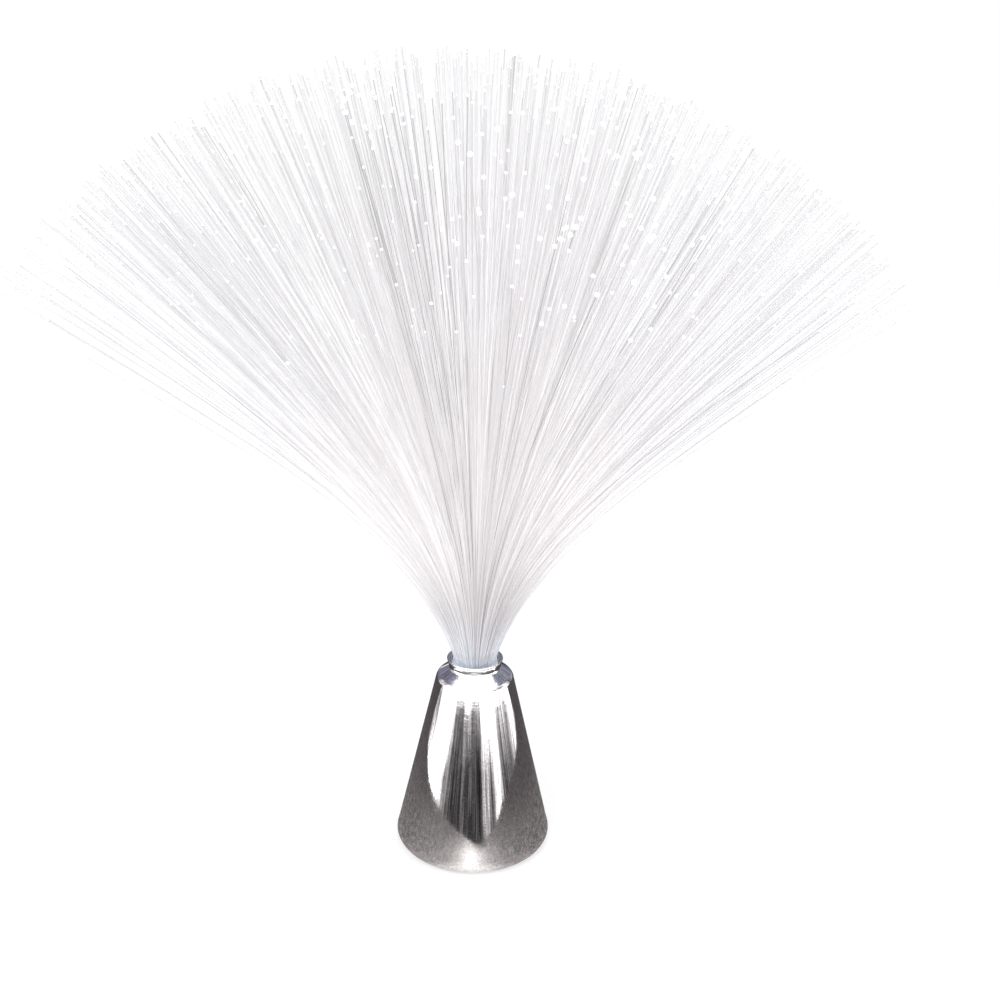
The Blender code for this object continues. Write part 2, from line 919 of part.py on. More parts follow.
def make_springs():
    first, second, third = cell_places
    door_level = door_spring_bottom
    for name, place in (("door_spring_1", first), ("door_spring_2", third)):
        tube(name, spring_path(place, door_level, door_level + spring_height), spring_wire / 2, nickel, 0)
    low = door_contact_top + 2 * clearance + contact_thickness + cell_length + clearance
    path = spring_path(second, low, top_contact_bottom - clearance)
    middle = (low + top_contact_bottom - clearance) / 2
    turned_over = [Vector((p.x, p.y, 2 * middle - p.z)) for p in path]
    tube("top_spring", turned_over, spring_wire / 2, nickel, 0)


# Switch


def make_switch():
    low = cap_top + clearance
    body = block(
        "switch_body",
        (switch_place - switch_width / 2, -switch_length / 2, low),
        (switch_place + switch_width / 2, switch_length / 2, low + switch_height),
        grey_plastic,
    )
    end = ear_pitch / 2
    ears = extruded(
        "switch_ears",
        [stadium((switch_place, -end), (switch_place, end), ear_end_radius)],
        low,
        low + ear_thickness,
    )
    add(body, ears)
    half_room = (switch_travel + carriage_length) / 2 + clearance
    room = block(
        "switch_room",
        (switch_place - switch_width / 2 + switch_wall, -half_room, low - overrun),
        (switch_place + switch_width / 2 - switch_wall, half_room, low + carriage_height + 2 * clearance),
    )
    cut(body, room)
    shaft, _, _, _ = switch_screw_sizes
    for side in (-1, 1):
        spot = (switch_place, side * end)
        hole = cylinder(
            f"switch_ear_hole_{side}",
            shaft + clearance,
            low - overrun,
            low + ear_thickness + overrun,
            spot,
            sides=small_sides,
        )
        cut(body, hole)
    for i in range(terminal_count):
        y = (i - (terminal_count - 1) / 2) * terminal_pitch
        terminal = block(
            f"switch_terminal_{i}",
            (switch_place - terminal_thickness / 2, y - terminal_width / 2, low + switch_height - sink),
            (
                switch_place + terminal_thickness / 2,
                y + terminal_width / 2,
                low + switch_height + terminal_height,
            ),
        )
        add(body, terminal)


def make_knob():
    """The knob at its off end, with its carriage inside the switch."""
    middle = -switch_travel / 2
    low = cap_top + clearance
    knob = block(
        "switch_knob",
        (switch_place - knob_width / 2, middle - knob_length / 2, knob_lift),
        (switch_place + knob_width / 2, middle + knob_length / 2, low + clearance + sink),
        black_plastic,
    )
    half_width = switch_width / 2 - switch_wall - clearance
    carriage = block(
        "knob_carriage",
        (switch_place - half_width, middle - carriage_length / 2, low + clearance),
        (switch_place + half_width, middle + carriage_length / 2, low + clearance + carriage_height),
    )
    add(knob, carriage)
    for step in (-1, 0, 1):
        y = middle + step * knob_groove_pitch
        groove = block(
            f"knob_groove_{step}",
            (switch_place - knob_width, y - knob_groove / 2, knob_lift - overrun),
            (switch_place + knob_width, y + knob_groove / 2, knob_lift + knob_groove),
        )
        cut(knob, groove)


# Screws and feet


def make_screw(name, place, seat, sizes, head_up):
    """A pan head screw whose head rests at the seat level, with a cross recess."""
    shaft, head, head_height, length = sizes
    tip = shaft / 2
    screw = turned(
        name,
        [
            (0.0, head_height),
            (head - head_height / 3, head_height),
            (head, 0.0),
            (shaft, 0.0),
            (shaft, shaft - length),
            (tip, -length),
            (0.0, -length),
        ],
        zinc_screw,
        small_sides,
    )
    arm = head - head_height / 2
    for i, (across, along) in enumerate([(arm, cross_width / 2), (cross_width / 2, arm)]):
        bar = block(
            f"{name}_cross_{i}",
            (-across, -along, head_height / 2),
            (across, along, head_height + overrun),
        )
        bar.parent = screw
        cut(screw, bar)
    screw.location = (place[0], place[1], seat)
    if not head_up:
        screw.rotation_euler = (math.pi, 0.0, 0.0)
    return screw


def make_screws():
    _, _, head_height, _ = cap_screw_sizes
    for i, angle in enumerate(cap_screw_angles):
        place = on_ring(boss_ring_radius, angle)
        make_screw(f"cap_screw_{i + 1}", place, cap_bottom + head_height, cap_screw_sizes, False)
    for i, side in enumerate((-1, 1)):
        seat = cup_bottom + cup_flange_height + clearance
        make_screw(f"board_screw_{i + 1}", (side * board_screw_place, 0.0), seat, board_screw_sizes, True)
        ear_seat = cap_top + 2 * clearance + ear_thickness
        spot = (switch_place, side * ear_pitch / 2)
        make_screw(f"switch_screw_{i + 1}", spot, ear_seat, switch_screw_sizes, True)


def make_feet():
    top = cap_bottom + foot_pocket - clearance
    for i, angle in enumerate(foot_angles):
        place = on_ring(foot_ring_radius, angle)
        foot = turned(
            f"foot_{i + 1}",
            [
                (0.0, top),
                (foot_radius, top),
                (foot_radius, foot_edge),
                (foot_radius - foot_edge, 0.0),
                (0.0, 0.0),
            ],
            rubber,
        )
        foot.location = (place.x, place.y, 0.0)


# Board, LED and light cup


def make_board():
    shaft, _, _, _ = board_screw_sizes
    holes = [circle((side * board_screw_place, 0.0), shaft + clearance) for side in (-1, 1)]
    holes += [circle((side * led_lead_pitch / 2, 0.0), led_lead_radius + clearance, 8) for side in (-1, 1)]
    extruded(
        "led_board",
        [circle((0.0, 0.0), board_radius, ring_sides), *holes],
        board_bottom,
        board_top,
        green_board,
    )


def make_led():
    low = cup_bottom
    dome_centre = (0.0, low + led_height - led_radius)
    led = turned(
        "led",
        [
            *arc(dome_centre, led_radius, math.pi / 2, 0.0, 4),
            (led_radius, low + led_flange_height),
            (led_flange_radius, low + led_flange_height),
            (led_flange_radius, low),
            (0.0, low),
        ],
        clear_resin,
    )
    for side in (-1, 1):
        lead = cylinder(
            f"led_lead_{side}",
            led_lead_radius,
            board_bottom - clearance,
            low + led_flange_height / 2,
            (side * led_lead_pitch / 2, 0.0),
            sides=8,
        )
        add(led, lead)


def make_cup():
    low_bore = led_flange_radius + clearance
    high_bore = bore_radius - socket_stop_width
    flange_top = cup_bottom + cup_flange_height
    cup = turned(
        "light_cup",
        [
            (high_bore, cup_top),
            (high_bore + cup_wall, cup_top),
            (low_bore + cup_wall, flange_top),
            (cup_flange_radius, flange_top),
            (cup_flange_radius, cup_bottom),
            (low_bore, cup_bottom),
        ],
        white_plastic,
        ring_sides,
        closed_loop=True,
    )
    shaft, _, _, _ = board_screw_sizes
    for side in (-1, 1):
        hole = cylinder(
            f"cup_hole_{side}",
            shaft + clearance,
            cup_bottom - overrun,
            flange_top + overrun,
            (side * board_screw_place, 0.0),
            sides=small_sides,
        )
        cut(cup, hole)


def make_board_parts():
    under = board_bottom - clearance
    chip = turned(
        "controller_chip",
        [
            (0.0, under),
            (chip_radius, under),
            (chip_radius * math.cos(math.pi / 6), under - chip_height / 2),
            (chip_radius / 2, under - chip_height),
            (0.0, under - chip_height),
        ],
        chip_resin,
        small_sides,
    )
    chip.location = (0.0, -chip_place, 0.0)
    half = resistor_length / 2
    end = half + resistor_lead_reach
    level = under - resistor_radius
    waist = half / 2
    stations = [
        (-end, resistor_lead_radius),
        (-half - resistor_lead_radius, resistor_lead_radius),
        (-half, resistor_radius),
        (-waist, resistor_radius),
        (-waist + resistor_radius, resistor_waist),
        (waist - resistor_radius, resistor_waist),
        (waist, resistor_radius),
        (half, resistor_radius),
        (half + resistor_lead_radius, resistor_lead_radius),
        (end, resistor_lead_radius),
    ]
    tube(
        "resistor",
        [Vector((x, resistor_place, level)) for x, _ in stations],
        resistor_radius,
        resistor_body,
        sides_step=2,
        radii=[radius for _, radius in stations],
    )


# Wires


def make_leads():
    """Red from the top contact down to the switch, white from the switch up to the board."""
    solder = cap_top + clearance + switch_height + terminal_height + clearance
    gap_radius = roof_radius + clearance + 2 * lead_radius
    under_board = board_bottom - clearance - lead_radius
    tail = tail_place + contact_thickness + clearance
    middle_height = (solder + roof_bottom) / 2

    def at(radius, angle, height):
        spot = on_ring(radius, angle)
        return Vector((spot.x, spot.y, height))

    red = [
        Vector((0.0, tail, under_board)),
        at(roof_radius, red_lead_angles[0], under_board),
        at(gap_radius, red_lead_angles[1], roof_bottom),
        at(gap_radius, red_lead_angles[2], middle_height),
        at(switch_place, red_lead_angles[3], solder + lead_rise),
        Vector((switch_place, terminal_pitch, solder)),
    ]
    tube("lead_red", smooth_route(red, lead_samples), lead_radius, red_wire)
    white = [
        Vector((switch_place, 0.0, solder)),
        at(switch_place, white_lead_angles[0], solder + lead_rise),
        at(gap_radius, white_lead_angles[1], middle_height),
        at(gap_radius, white_lead_angles[2], roof_bottom),
        at(roof_radius, white_lead_angles[3], under_board),
        at(board_screw_place, white_lead_angles[4], under_board),
    ]
    tube("lead_white", smooth_route(white, lead_samples), lead_radius, white_wire)


# Spray


def make_ferrule():
    turned(
        "spray_ferrule",
        [
            (ferrule_bore, ferrule_top),
            (ferrule_radius, ferrule_top),
            (ferrule_radius, ferrule_bottom),
            (ferrule_bore, ferrule_bottom),
        ],
        white_plastic,
        ring_sides,
        closed_loop=True,
    )
    cylinder(
        "fibre_bundle",
        bundle_radius,
        ferrule_bottom,
        slice_bottom - clearance,
        material=clear_fibre,
        sides=ring_sides,
    )


def strand_points(root_share, azimuth, length, pieces):
    """A strand's centre line: it leans out more the farther from the axis it starts, and bends near its root."""
    root_radius = root_share * (bundle_radius - strand_radius - weld_distance)
    start = slice_bottom + slice_thickness / 2
    radius, height = root_radius, start
    marks = [round(path_steps * (i / pieces) ** root_bend_power) for i in range(pieces + 1)]
    points = []
    for step in range(path_steps + 1):
        if step in marks:
            points.append(Vector((radius * math.cos(azimuth), radius * math.sin(azimuth), height)))
        share = (step + 0.5) / path_steps
        tilt = root_share * (tip_tilt - (tip_tilt - root_tilt) * math.exp(-share / bend_share))
        radius += math.sin(tilt) * length / path_steps
        height += math.cos(tilt) * length / path_steps
    return points


def spray_strands():
    """Every strand's points, ring by ring, each with its twin half a turn away."""
    strands = []
    for ring in range(1, strand_rings + 1):
        root_share = ring / strand_rings
        pairs = round(strands_per_ring * ring / 2)
        pieces = 2 + (root_share > more_bends_shares[0]) + (root_share > more_bends_shares[1])
        for i in range(pairs):
            unevenness = (len(strands) * ragged_step) % 1.0
            length = strand_length - rim_shortening * root_share**2 - ragged_length * unevenness
            azimuth = ring_turn * ring + math.pi * i / pairs
            for turn in (0.0, math.pi):
                strands.append(strand_points(root_share, azimuth + turn, length, pieces))
    return strands


def make_spray():
    section = bpy.data.curves.new("strand_section", "CURVE")
    section.dimensions = "2D"
    outline = section.splines.new("POLY")
    corners = circle((0.0, 0.0), strand_radius, 3)
    outline.points.add(len(corners) - 1)
    outline.use_cyclic_u = True
    for point, (x, y) in zip(outline.points, corners):
        point.co = (x, y, 0.0, 1.0)
    section_guide = link("strand_section", section)

    curve = bpy.data.curves.new("strands", "CURVE")
    curve.dimensions = "3D"
    curve.bevel_mode = "OBJECT"
    curve.bevel_object = section_guide
    curve.use_fill_caps = True
    strands = spray_strands()
    for strand in strands:
        spline = curve.splines.new("POLY")
        spline.points.add(len(strand) - 1)
        for point, place in zip(spline.points, strand):
            point.co = (*place, 1.0)
    mesh = weld_curve(link("strands_guide", curve), "strands")
    bpy.data.objects.remove(section_guide)
    spray = cylinder(
        "fibre_spray", bundle_radius, slice_bottom, slice_top, material=clear_fibre, sides=ring_sides
    )
    add(spray, link("strands", mesh))
    print(len(strands), "strands")


def place_moving_origins():
    """The door turns about its barrel, so its pieces hang from an empty on that axis."""
    bpy.context.view_layer.update()
    axis = bpy.data.objects.new("door_hinge_axis", None)
    axis.location = (0.0, hinge_y, hinge_z)
    lamp.objects.link(axis)
    bpy.context.view_layer.update()
    carried = ("battery_door", "door_contact_link", "door_contact_end", "door_spring_1", "door_spring_2")
    for name in carried:
        piece = bpy.data.objects[name]
        kept = piece.matrix_world.copy()
        piece.parent = axis
        piece.matrix_world = kept


make_shell()
make_cap()
make_door()
for number, spot in enumerate(cell_places):
    make_cell(f"battery_{number + 1}", spot, nub_up=number != 1)
make_contacts()
make_springs()
make_switch()
make_knob()
make_screws()
make_feet()
make_board()
make_led()
make_cup()
make_board_parts()
make_leads()
make_ferrule()
make_spray()
place_moving_origins()
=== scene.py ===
"""Looks of the battery fibre optic lamp: a chromed cone base with a wide spray of lit plastic fibres."""

import math
import random

import bmesh
import bpy
import numpy as np
from mathutils import Matrix, Vector


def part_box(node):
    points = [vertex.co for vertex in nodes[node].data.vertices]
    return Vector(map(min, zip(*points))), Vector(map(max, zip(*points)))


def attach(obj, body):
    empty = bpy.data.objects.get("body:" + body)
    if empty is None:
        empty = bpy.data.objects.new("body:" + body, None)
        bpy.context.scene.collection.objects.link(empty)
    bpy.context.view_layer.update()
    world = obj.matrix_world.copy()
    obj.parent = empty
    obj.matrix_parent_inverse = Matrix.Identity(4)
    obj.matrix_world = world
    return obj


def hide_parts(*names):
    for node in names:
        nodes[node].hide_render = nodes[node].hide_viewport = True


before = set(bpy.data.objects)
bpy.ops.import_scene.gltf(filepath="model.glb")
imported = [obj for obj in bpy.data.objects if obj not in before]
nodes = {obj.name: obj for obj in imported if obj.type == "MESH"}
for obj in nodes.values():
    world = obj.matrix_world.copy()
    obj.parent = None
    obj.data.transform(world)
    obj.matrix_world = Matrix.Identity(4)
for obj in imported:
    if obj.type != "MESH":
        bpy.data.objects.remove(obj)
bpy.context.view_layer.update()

MM = 0.001
WHITE = (1.0, 1.0, 1.0)


# Node trees


class Nodes:
    """Adds nodes to a tree and joins them."""

    def __init__(self, tree):
        self.tree = tree

    def put(self, target, value):
        """Joins an input to another node's output, or gives it a plain value."""
        if isinstance(value, bpy.types.NodeSocket):
            self.tree.links.new(value, target)
        elif hasattr(target.default_value, "__len__") and len(target.default_value) == 4:
            target.default_value = (*value, 1.0) if len(value) == 3 else value
        else:
            target.default_value = value

    def set(self, node, socket, value):
        self.put(node.inputs[socket], value)

    def node(self, kind, sockets=(), **settings):
        made = self.tree.nodes.new("ShaderNode" + kind)
        for key, value in settings.items():
            setattr(made, key, value)
        for socket, value in dict(sockets).items():
            self.set(made, socket, value)
        return made

    def place(self, scale=1.0):
        """Object coordinates in metres, times a scale or three of them."""
        coordinates = self.node("TexCoord").outputs["Object"]
        scales = scale if hasattr(scale, "__len__") else (scale,) * 3
        return self.node("Mapping", {"Vector": coordinates, "Scale": scales}).outputs["Vector"]

    def noise(self, scale, detail=3.0, roughness=0.5, stretch=1.0, place=None):
        sockets = {"Vector": place or self.place(stretch), "Scale": scale, "Detail": detail, "Roughness": roughness}
        return self.node("TexNoise", sockets).outputs["Fac"]

    def ramp(self, factor, *stops, mode="LINEAR"):
        """Colours or greys by a factor, as (position, value) stops."""
        made = self.node("ValToRGB", {"Fac": factor})
        ramp = made.color_ramp
        ramp.interpolation = mode
        while len(ramp.elements) < len(stops):
            ramp.elements.new(0.5)
        for element, (position, value) in zip(ramp.elements, stops):
            element.position = position
            element.color = (*value, 1.0) if hasattr(value, "__len__") else (value, value, value, 1.0)
        return made.outputs["Color"]

    def span(self, value, start, end):
        """How far a value is from start to end, from 0 to 1."""
        sockets = {"Value": value, "From Min": start, "From Max": end}
        return self.node("MapRange", sockets).outputs["Result"]

    def math(self, operation, *values):
        made = self.node("Math", operation=operation)
        for target, value in zip(made.inputs, values):
            self.put(target, value)
        return made.outputs["Value"]

    def mix(self, factor, first, second, blend="MIX"):
        made = self.node("Mix", data_type="RGBA", blend_type=blend)
        for index, value in ((0, factor), (6, first), (7, second)):
            self.put(made.inputs[index], value)
        return made.outputs[2]

    def times(self, first, second):
        return self.mix(1.0, first, second, "MULTIPLY")

    def plus(self, first, second):
        return self.mix(1.0, first, second, "ADD")

    def bump(self, height, strength, distance, under=None):
        sockets = {"Height": height, "Strength": strength, "Distance": distance}
        if under:
            sockets["Normal"] = under
        return self.node("Bump", sockets).outputs["Normal"]


class Surface(Nodes):
    """A Principled material."""

    def __init__(self, name, **sockets):
        self.material = bpy.data.materials.new(name)
        self.material.use_nodes = True
        super().__init__(self.material.node_tree)
        self.shader = self.tree.nodes["Principled BSDF"]
        for socket, value in sockets.items():
            self.set(self.shader, socket.replace("_", " "), value)

    def attribute(self, name):
        return self.node("Attribute", attribute_name=name, attribute_type="GEOMETRY").outputs["Fac"]

    def show(self, shader):
        """Puts another shader in the Principled one's place on the surface."""
        self.set(self.tree.nodes["Material Output"], "Surface", shader)


def moulded(name, colour, roughness, grain=2400.0, depth=0.02, spread=0.12):
    """Moulded plastic: a fine grain of a depth in mm, a slow drift of shade and patchy gloss."""
    s = Surface(name)
    dark = tuple(c * (1 - spread) for c in colour)
    light = tuple(min(1.0, c * (1 + spread)) for c in colour)
    drift = s.noise(110.0, 4.0)
    s.set(s.shader, "Base Color", s.ramp(drift, (0.3, dark), (0.7, light)))
    shine = s.noise(420.0, 3.0)
    s.set(s.shader, "Roughness", s.ramp(shine, (0.3, roughness - 0.06), (0.75, roughness + 0.08)))
    s.set(s.shader, "Normal", s.bump(s.noise(grain, 2.0), 0.35, depth * MM))
    return s.material


def brushed(name, colour, roughness, stretch=(1.0, 18.0, 1.0)):
    """Plated or turned metal with fine lines along one way and faint stains."""
    s = Surface(name, Metallic=1.0)
    stains = s.noise(160.0, 4.0)
    dark = tuple(c * 0.78 for c in colour)
    s.set(s.shader, "Base Color", s.ramp(stains, (0.32, dark), (0.62, colour)))
    lines = s.noise(900.0, 2.0, stretch=stretch)
    s.set(s.shader, "Roughness", s.ramp(lines, (0.3, roughness - 0.08), (0.7, roughness + 0.12)))
    s.set(s.shader, "Normal", s.bump(lines, 0.2, 0.02 * MM))
    return s.material


# Materials


def chrome_coat():
    """Chromed plastic: a mirror with a slight orange peel, a fine speckle, pits and a few dull patches."""
    s = Surface("chrome_coat", Metallic=1.0)
    patches = s.noise(70.0, 4.0)
    coat = s.ramp(patches, (0.3, (0.80, 0.79, 0.80)), (0.7, (0.91, 0.90, 0.92)))
    speckle = s.ramp(s.noise(1500.0, 3.0, 0.75), (0.36, 0.72), (0.60, 1.0))
    s.set(s.shader, "Base Color", s.times(coat, speckle))
    haze = s.noise(260.0, 5.0, 0.6)
    s.set(s.shader, "Roughness", s.ramp(haze, (0.35, 0.03), (0.75, 0.09)))
    peel = s.bump(s.noise(430.0, 2.0), 0.5, 0.010 * MM)
    pits = s.bump(s.noise(2600.0, 2.0), 0.5, 0.006 * MM, peel)
    s.set(s.shader, "Normal", pits)
    return s.material


def lit_fibre():
    """Clear plastic fibre that carries light. Each strand has its own tone, and its glow changes along it."""
    s = Surface("lit_fibre", Roughness=0.28)
    tone, along, cool = (s.attribute(name) for name in ("tone", "along", "cool"))
    tint = s.ramp(
        tone,
        (0.0, (0.60, 0.60, 0.59)),
        (0.2, (0.77, 0.75, 0.75)),
        (0.4, (0.84, 0.81, 0.82)),
        (0.7, (0.89, 0.87, 0.88)),
        (0.88, (0.93, 0.93, 0.94)),
        (1.0, (0.97, 0.97, 0.97)),
    )
    s.set(s.shader, "Base Color", tint)
    colour = s.ramp(
        along,
        (0.0, (0.70, 0.81, 1.0)),
        (0.08, (0.86, 0.90, 1.0)),
        (0.22, (1.0, 0.965, 0.96)),
        (0.6, (1.0, 0.975, 0.97)),
        (1.0, WHITE),
    )
    s.set(s.shader, "Emission Color", s.mix(cool, colour, (0.78, 0.86, 1.0)))
    lively = s.ramp(tone, (0.0, 0.11), (0.25, 0.20), (0.5, 0.26), (0.8, 0.34), (1.0, 0.48))
    reach = s.ramp(
        along, (0.0, 0.75), (0.05, 0.42), (0.2, 0.50), (0.35, 0.80), (0.5, 0.96), (0.7, 0.78), (1.0, 0.60)
    )
    s.set(s.shader, "Emission Strength", s.math("MULTIPLY", lively, reach))
    return s.material


def lit_tip():
    """The cut end of a fibre, where its light comes out."""
    s = Surface("lit_tip", Roughness=0.3, Emission_Color=(0.97, 0.985, 1.0))
    speckle = s.noise(300.0, 2.0)
    s.set(s.shader, "Base Color", s.ramp(speckle, (0.3, (0.92, 0.94, 0.97)), (0.7, WHITE)))
    s.set(s.shader, "Emission Strength", s.ramp(speckle, (0.3, 0.8), (0.7, 1.0)))
    return s.material


def green_solder_mask():
    """Solder mask over the weave of the board."""
    s = Surface("green_solder_mask", Coat_Weight=0.4, Coat_Roughness=0.2)
    weave = s.node("TexBrick", {"Vector": s.place(), "Scale": 900.0, "Mortar Size": 0.06}).outputs["Fac"]
    drift = s.noise(240.0, 4.0)
    base = s.ramp(drift, (0.3, (0.012, 0.13, 0.045)), (0.7, (0.03, 0.22, 0.08)))
    s.set(s.shader, "Base Color", s.mix(weave, base, (0.02, 0.16, 0.06)))
    s.set(s.shader, "Roughness", s.ramp(drift, (0.2, 0.32), (0.8, 0.5)))
    s.set(s.shader, "Normal", s.bump(weave, 0.2, 0.02 * MM))
    return s.material


def cell_wrap(name, positive_level, negative_level):
    """A battery's plain sleeve: a dark body, a copper band at its positive end and steel ends."""
    s = Surface(name)
    height = s.node("SeparateXYZ", {"Vector": s.place()}).outputs["Z"]
    share = s.span(height, negative_level, positive_level)
    body, band, cap = 0.012, 0.70, 0.975
    can = (0.62, 0.62, 0.60)
    stops = (0.0, can), (body, (0.02, 0.022, 0.03)), (band, (0.55, 0.27, 0.09)), (cap, can)
    colour = s.ramp(share, *stops, mode="CONSTANT")
    scuffs = s.noise(380.0, 5.0, 0.7)
    s.set(s.shader, "Base Color", s.mix(s.ramp(scuffs, (0.62, 0.0), (0.75, 0.35)), colour, (0.5, 0.5, 0.5)))
    s.set(s.shader, "Metallic", s.ramp(share, (0.0, 1.0), (body, 0.3), (cap, 1.0), mode="CONSTANT"))
    s.set(s.shader, "Roughness", s.ramp(scuffs, (0.3, 0.22), (0.7, 0.42)))
    s.set(s.shader, "Normal", s.bump(scuffs, 0.15, 0.02 * MM))
    return s.material


def banded_resistor(start, end):
    """A resistor along X: a tan body with four bands and steel leads."""
    s = Surface("banded_resistor")
    share = s.span(s.node("SeparateXYZ", {"Vector": s.place()}).outputs["X"], start, end)
    body, lead = (0.58, 0.46, 0.29), (0.6, 0.6, 0.6)
    bands = (
        (0.28, (0.25, 0.03, 0.02)), (0.42, (0.02, 0.02, 0.02)),
        (0.56, (0.30, 0.10, 0.02)), (0.70, (0.55, 0.40, 0.10)),
    )
    band_width = 0.06
    stops = [(0.0, lead), (0.2, body)]
    for position, colour in bands:
        stops += [(position, colour), (position + band_width, body)]
    s.set(s.shader, "Base Color", s.ramp(share, *stops, (0.8, lead), mode="CONSTANT"))
    s.set(s.shader, "Roughness", s.ramp(s.noise(900.0), (0.3, 0.25), (0.7, 0.45)))
    return s.material


def clear_resin():
    """The LED's lens: clear, slightly hazy and lit."""
    s = Surface("clear_resin", Transmission_Weight=0.6, IOR=1.5, Emission_Color=(0.85, 0.92, 1.0))
    haze = s.noise(500.0, 3.0)
    s.set(s.shader, "Base Color", s.ramp(haze, (0.3, (0.90, 0.93, 0.97)), (0.7, (0.97, 0.98, 1.0))))
    s.set(s.shader, "Roughness", s.ramp(haze, (0.3, 0.04), (0.8, 0.15)))
    s.set(s.shader, "Emission Strength", s.ramp(haze, (0.3, 0.5), (0.7, 0.9)))
    return s.material


chrome = chrome_coat()
fibre = lit_fibre()
tip_light = lit_tip()
black = moulded("black_moulding", (0.022, 0.022, 0.024), 0.42, grain=1800.0, depth=0.05, spread=0.25)
white = moulded("white_moulding", (0.84, 0.85, 0.84), 0.34, grain=2600.0)
inner_plastic = moulded("inner_plastic", (0.55, 0.55, 0.56), 0.3, grain=2000.0)
grey = moulded("grey_moulding", (0.30, 0.30, 0.31), 0.4)
rubber = moulded("black_rubber", (0.035, 0.035, 0.036), 0.78, grain=3200.0, depth=0.06, spread=0.3)
chip = moulded("chip_blob", (0.008, 0.008, 0.009), 0.16, grain=900.0)
red_pvc = moulded("red_pvc", (0.50, 0.015, 0.012), 0.36)
white_pvc = moulded("white_pvc", (0.78, 0.77, 0.73), 0.36)
steel = brushed("zinc_steel", (0.60, 0.60, 0.63), 0.3)
nickel = brushed("nickel_strip", (0.72, 0.69, 0.64), 0.26)
resin = clear_resin()
board = green_solder_mask()


# Geometry


def add_mesh(name, verts, faces, material, smooth=True):
    mesh = bpy.data.meshes.new(name)
    mesh.from_pydata(verts, [], faces)
    mesh.materials.append(material)
    if smooth:
        mesh.shade_smooth()
    made = bpy.data.objects.new(name, mesh)
    bpy.context.scene.collection.objects.link(made)
    return made


def turned_mesh(name, profile, material, steps, sharp):
    """A closed loop of (radius, height) points turned about Z. Edges over sharp degrees stay hard."""
    count = len(profile)
    verts, faces = [], []
    for i in range(steps):
        a = math.tau * i / steps
        verts += [(r * math.cos(a), r * math.sin(a), z) for r, z in profile]
    for i in range(steps):
        here, there = i * count, (i + 1) % steps * count
        for k in range(count):
            n = (k + 1) % count
            faces.append((here + k, here + n, there + n, there + k))
    made = add_mesh(name, verts, faces, material)
    bm = bmesh.new()
    bm.from_mesh(made.data)
    bmesh.ops.recalc_face_normals(bm, faces=bm.faces)
    bm.to_mesh(made.data)
    bm.free()
    made.data.set_sharp_from_angle(angle=math.radians(sharp))
    return made


def arc(centre, radius, start, end, pieces):
    """Points of an arc between two angles in degrees."""
    angles = [math.radians(start + (end - start) * i / pieces) for i in range(pieces + 1)]
    return [(centre[0] + radius * math.cos(a), centre[1] + radius * math.sin(a)) for a in angles]


# Base shell, with the CAD shell's own sizes

shell_low, shell_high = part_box("base_shell")
RIM = shell_high.z
FOOT = shell_low.z
BASE_RADIUS = 32.0 * MM
SHOULDER_RADIUS = 15.9 * MM
SHOULDER = 72.4 * MM
# The side's lean from upright, in degrees, over the height from the foot's fillet to the shoulder
SLOPE = math.degrees(math.atan((32.0 - 15.9) / (72.4 - 3.2)))
WALL = 1.6 * MM
FOOT_FILLET = 2.4 * MM
SHOULDER_BEND = 4.0 * MM
# How far the shoulder leans from upright at its top, in degrees
SHOULDER_END = 58.0
NECK_TURN = 1.5 * MM
NECK_RADIUS = 10.3 * MM
LIP_RADIUS = 11.4 * MM
LIP_HEIGHT = 0.7 * MM
LIP_EDGE = 0.3 * MM
FLARE_INSET = 0.12 * MM
BORE = 9.4 * MM
COLLAR_WALL = 1.0 * MM
STOP_LEVEL = 67.5 * MM
STOP_HEIGHT = 0.7 * MM
SIDE_PIECES = 24
FLARE_PIECES = 8


def neck_flare(low, high):
    """The neck's curve out to the lip, from its top down: a quarter of an ellipse."""
    top_radius = LIP_RADIUS - FLARE_INSET
    inward, down = top_radius - NECK_RADIUS, high - low
    points = []
    for i in range(FLARE_PIECES + 1):
        a = i / FLARE_PIECES * math.pi / 2
        points.append((top_radius - inward * math.sin(a), high - down * (1 - math.cos(a))))
    return points


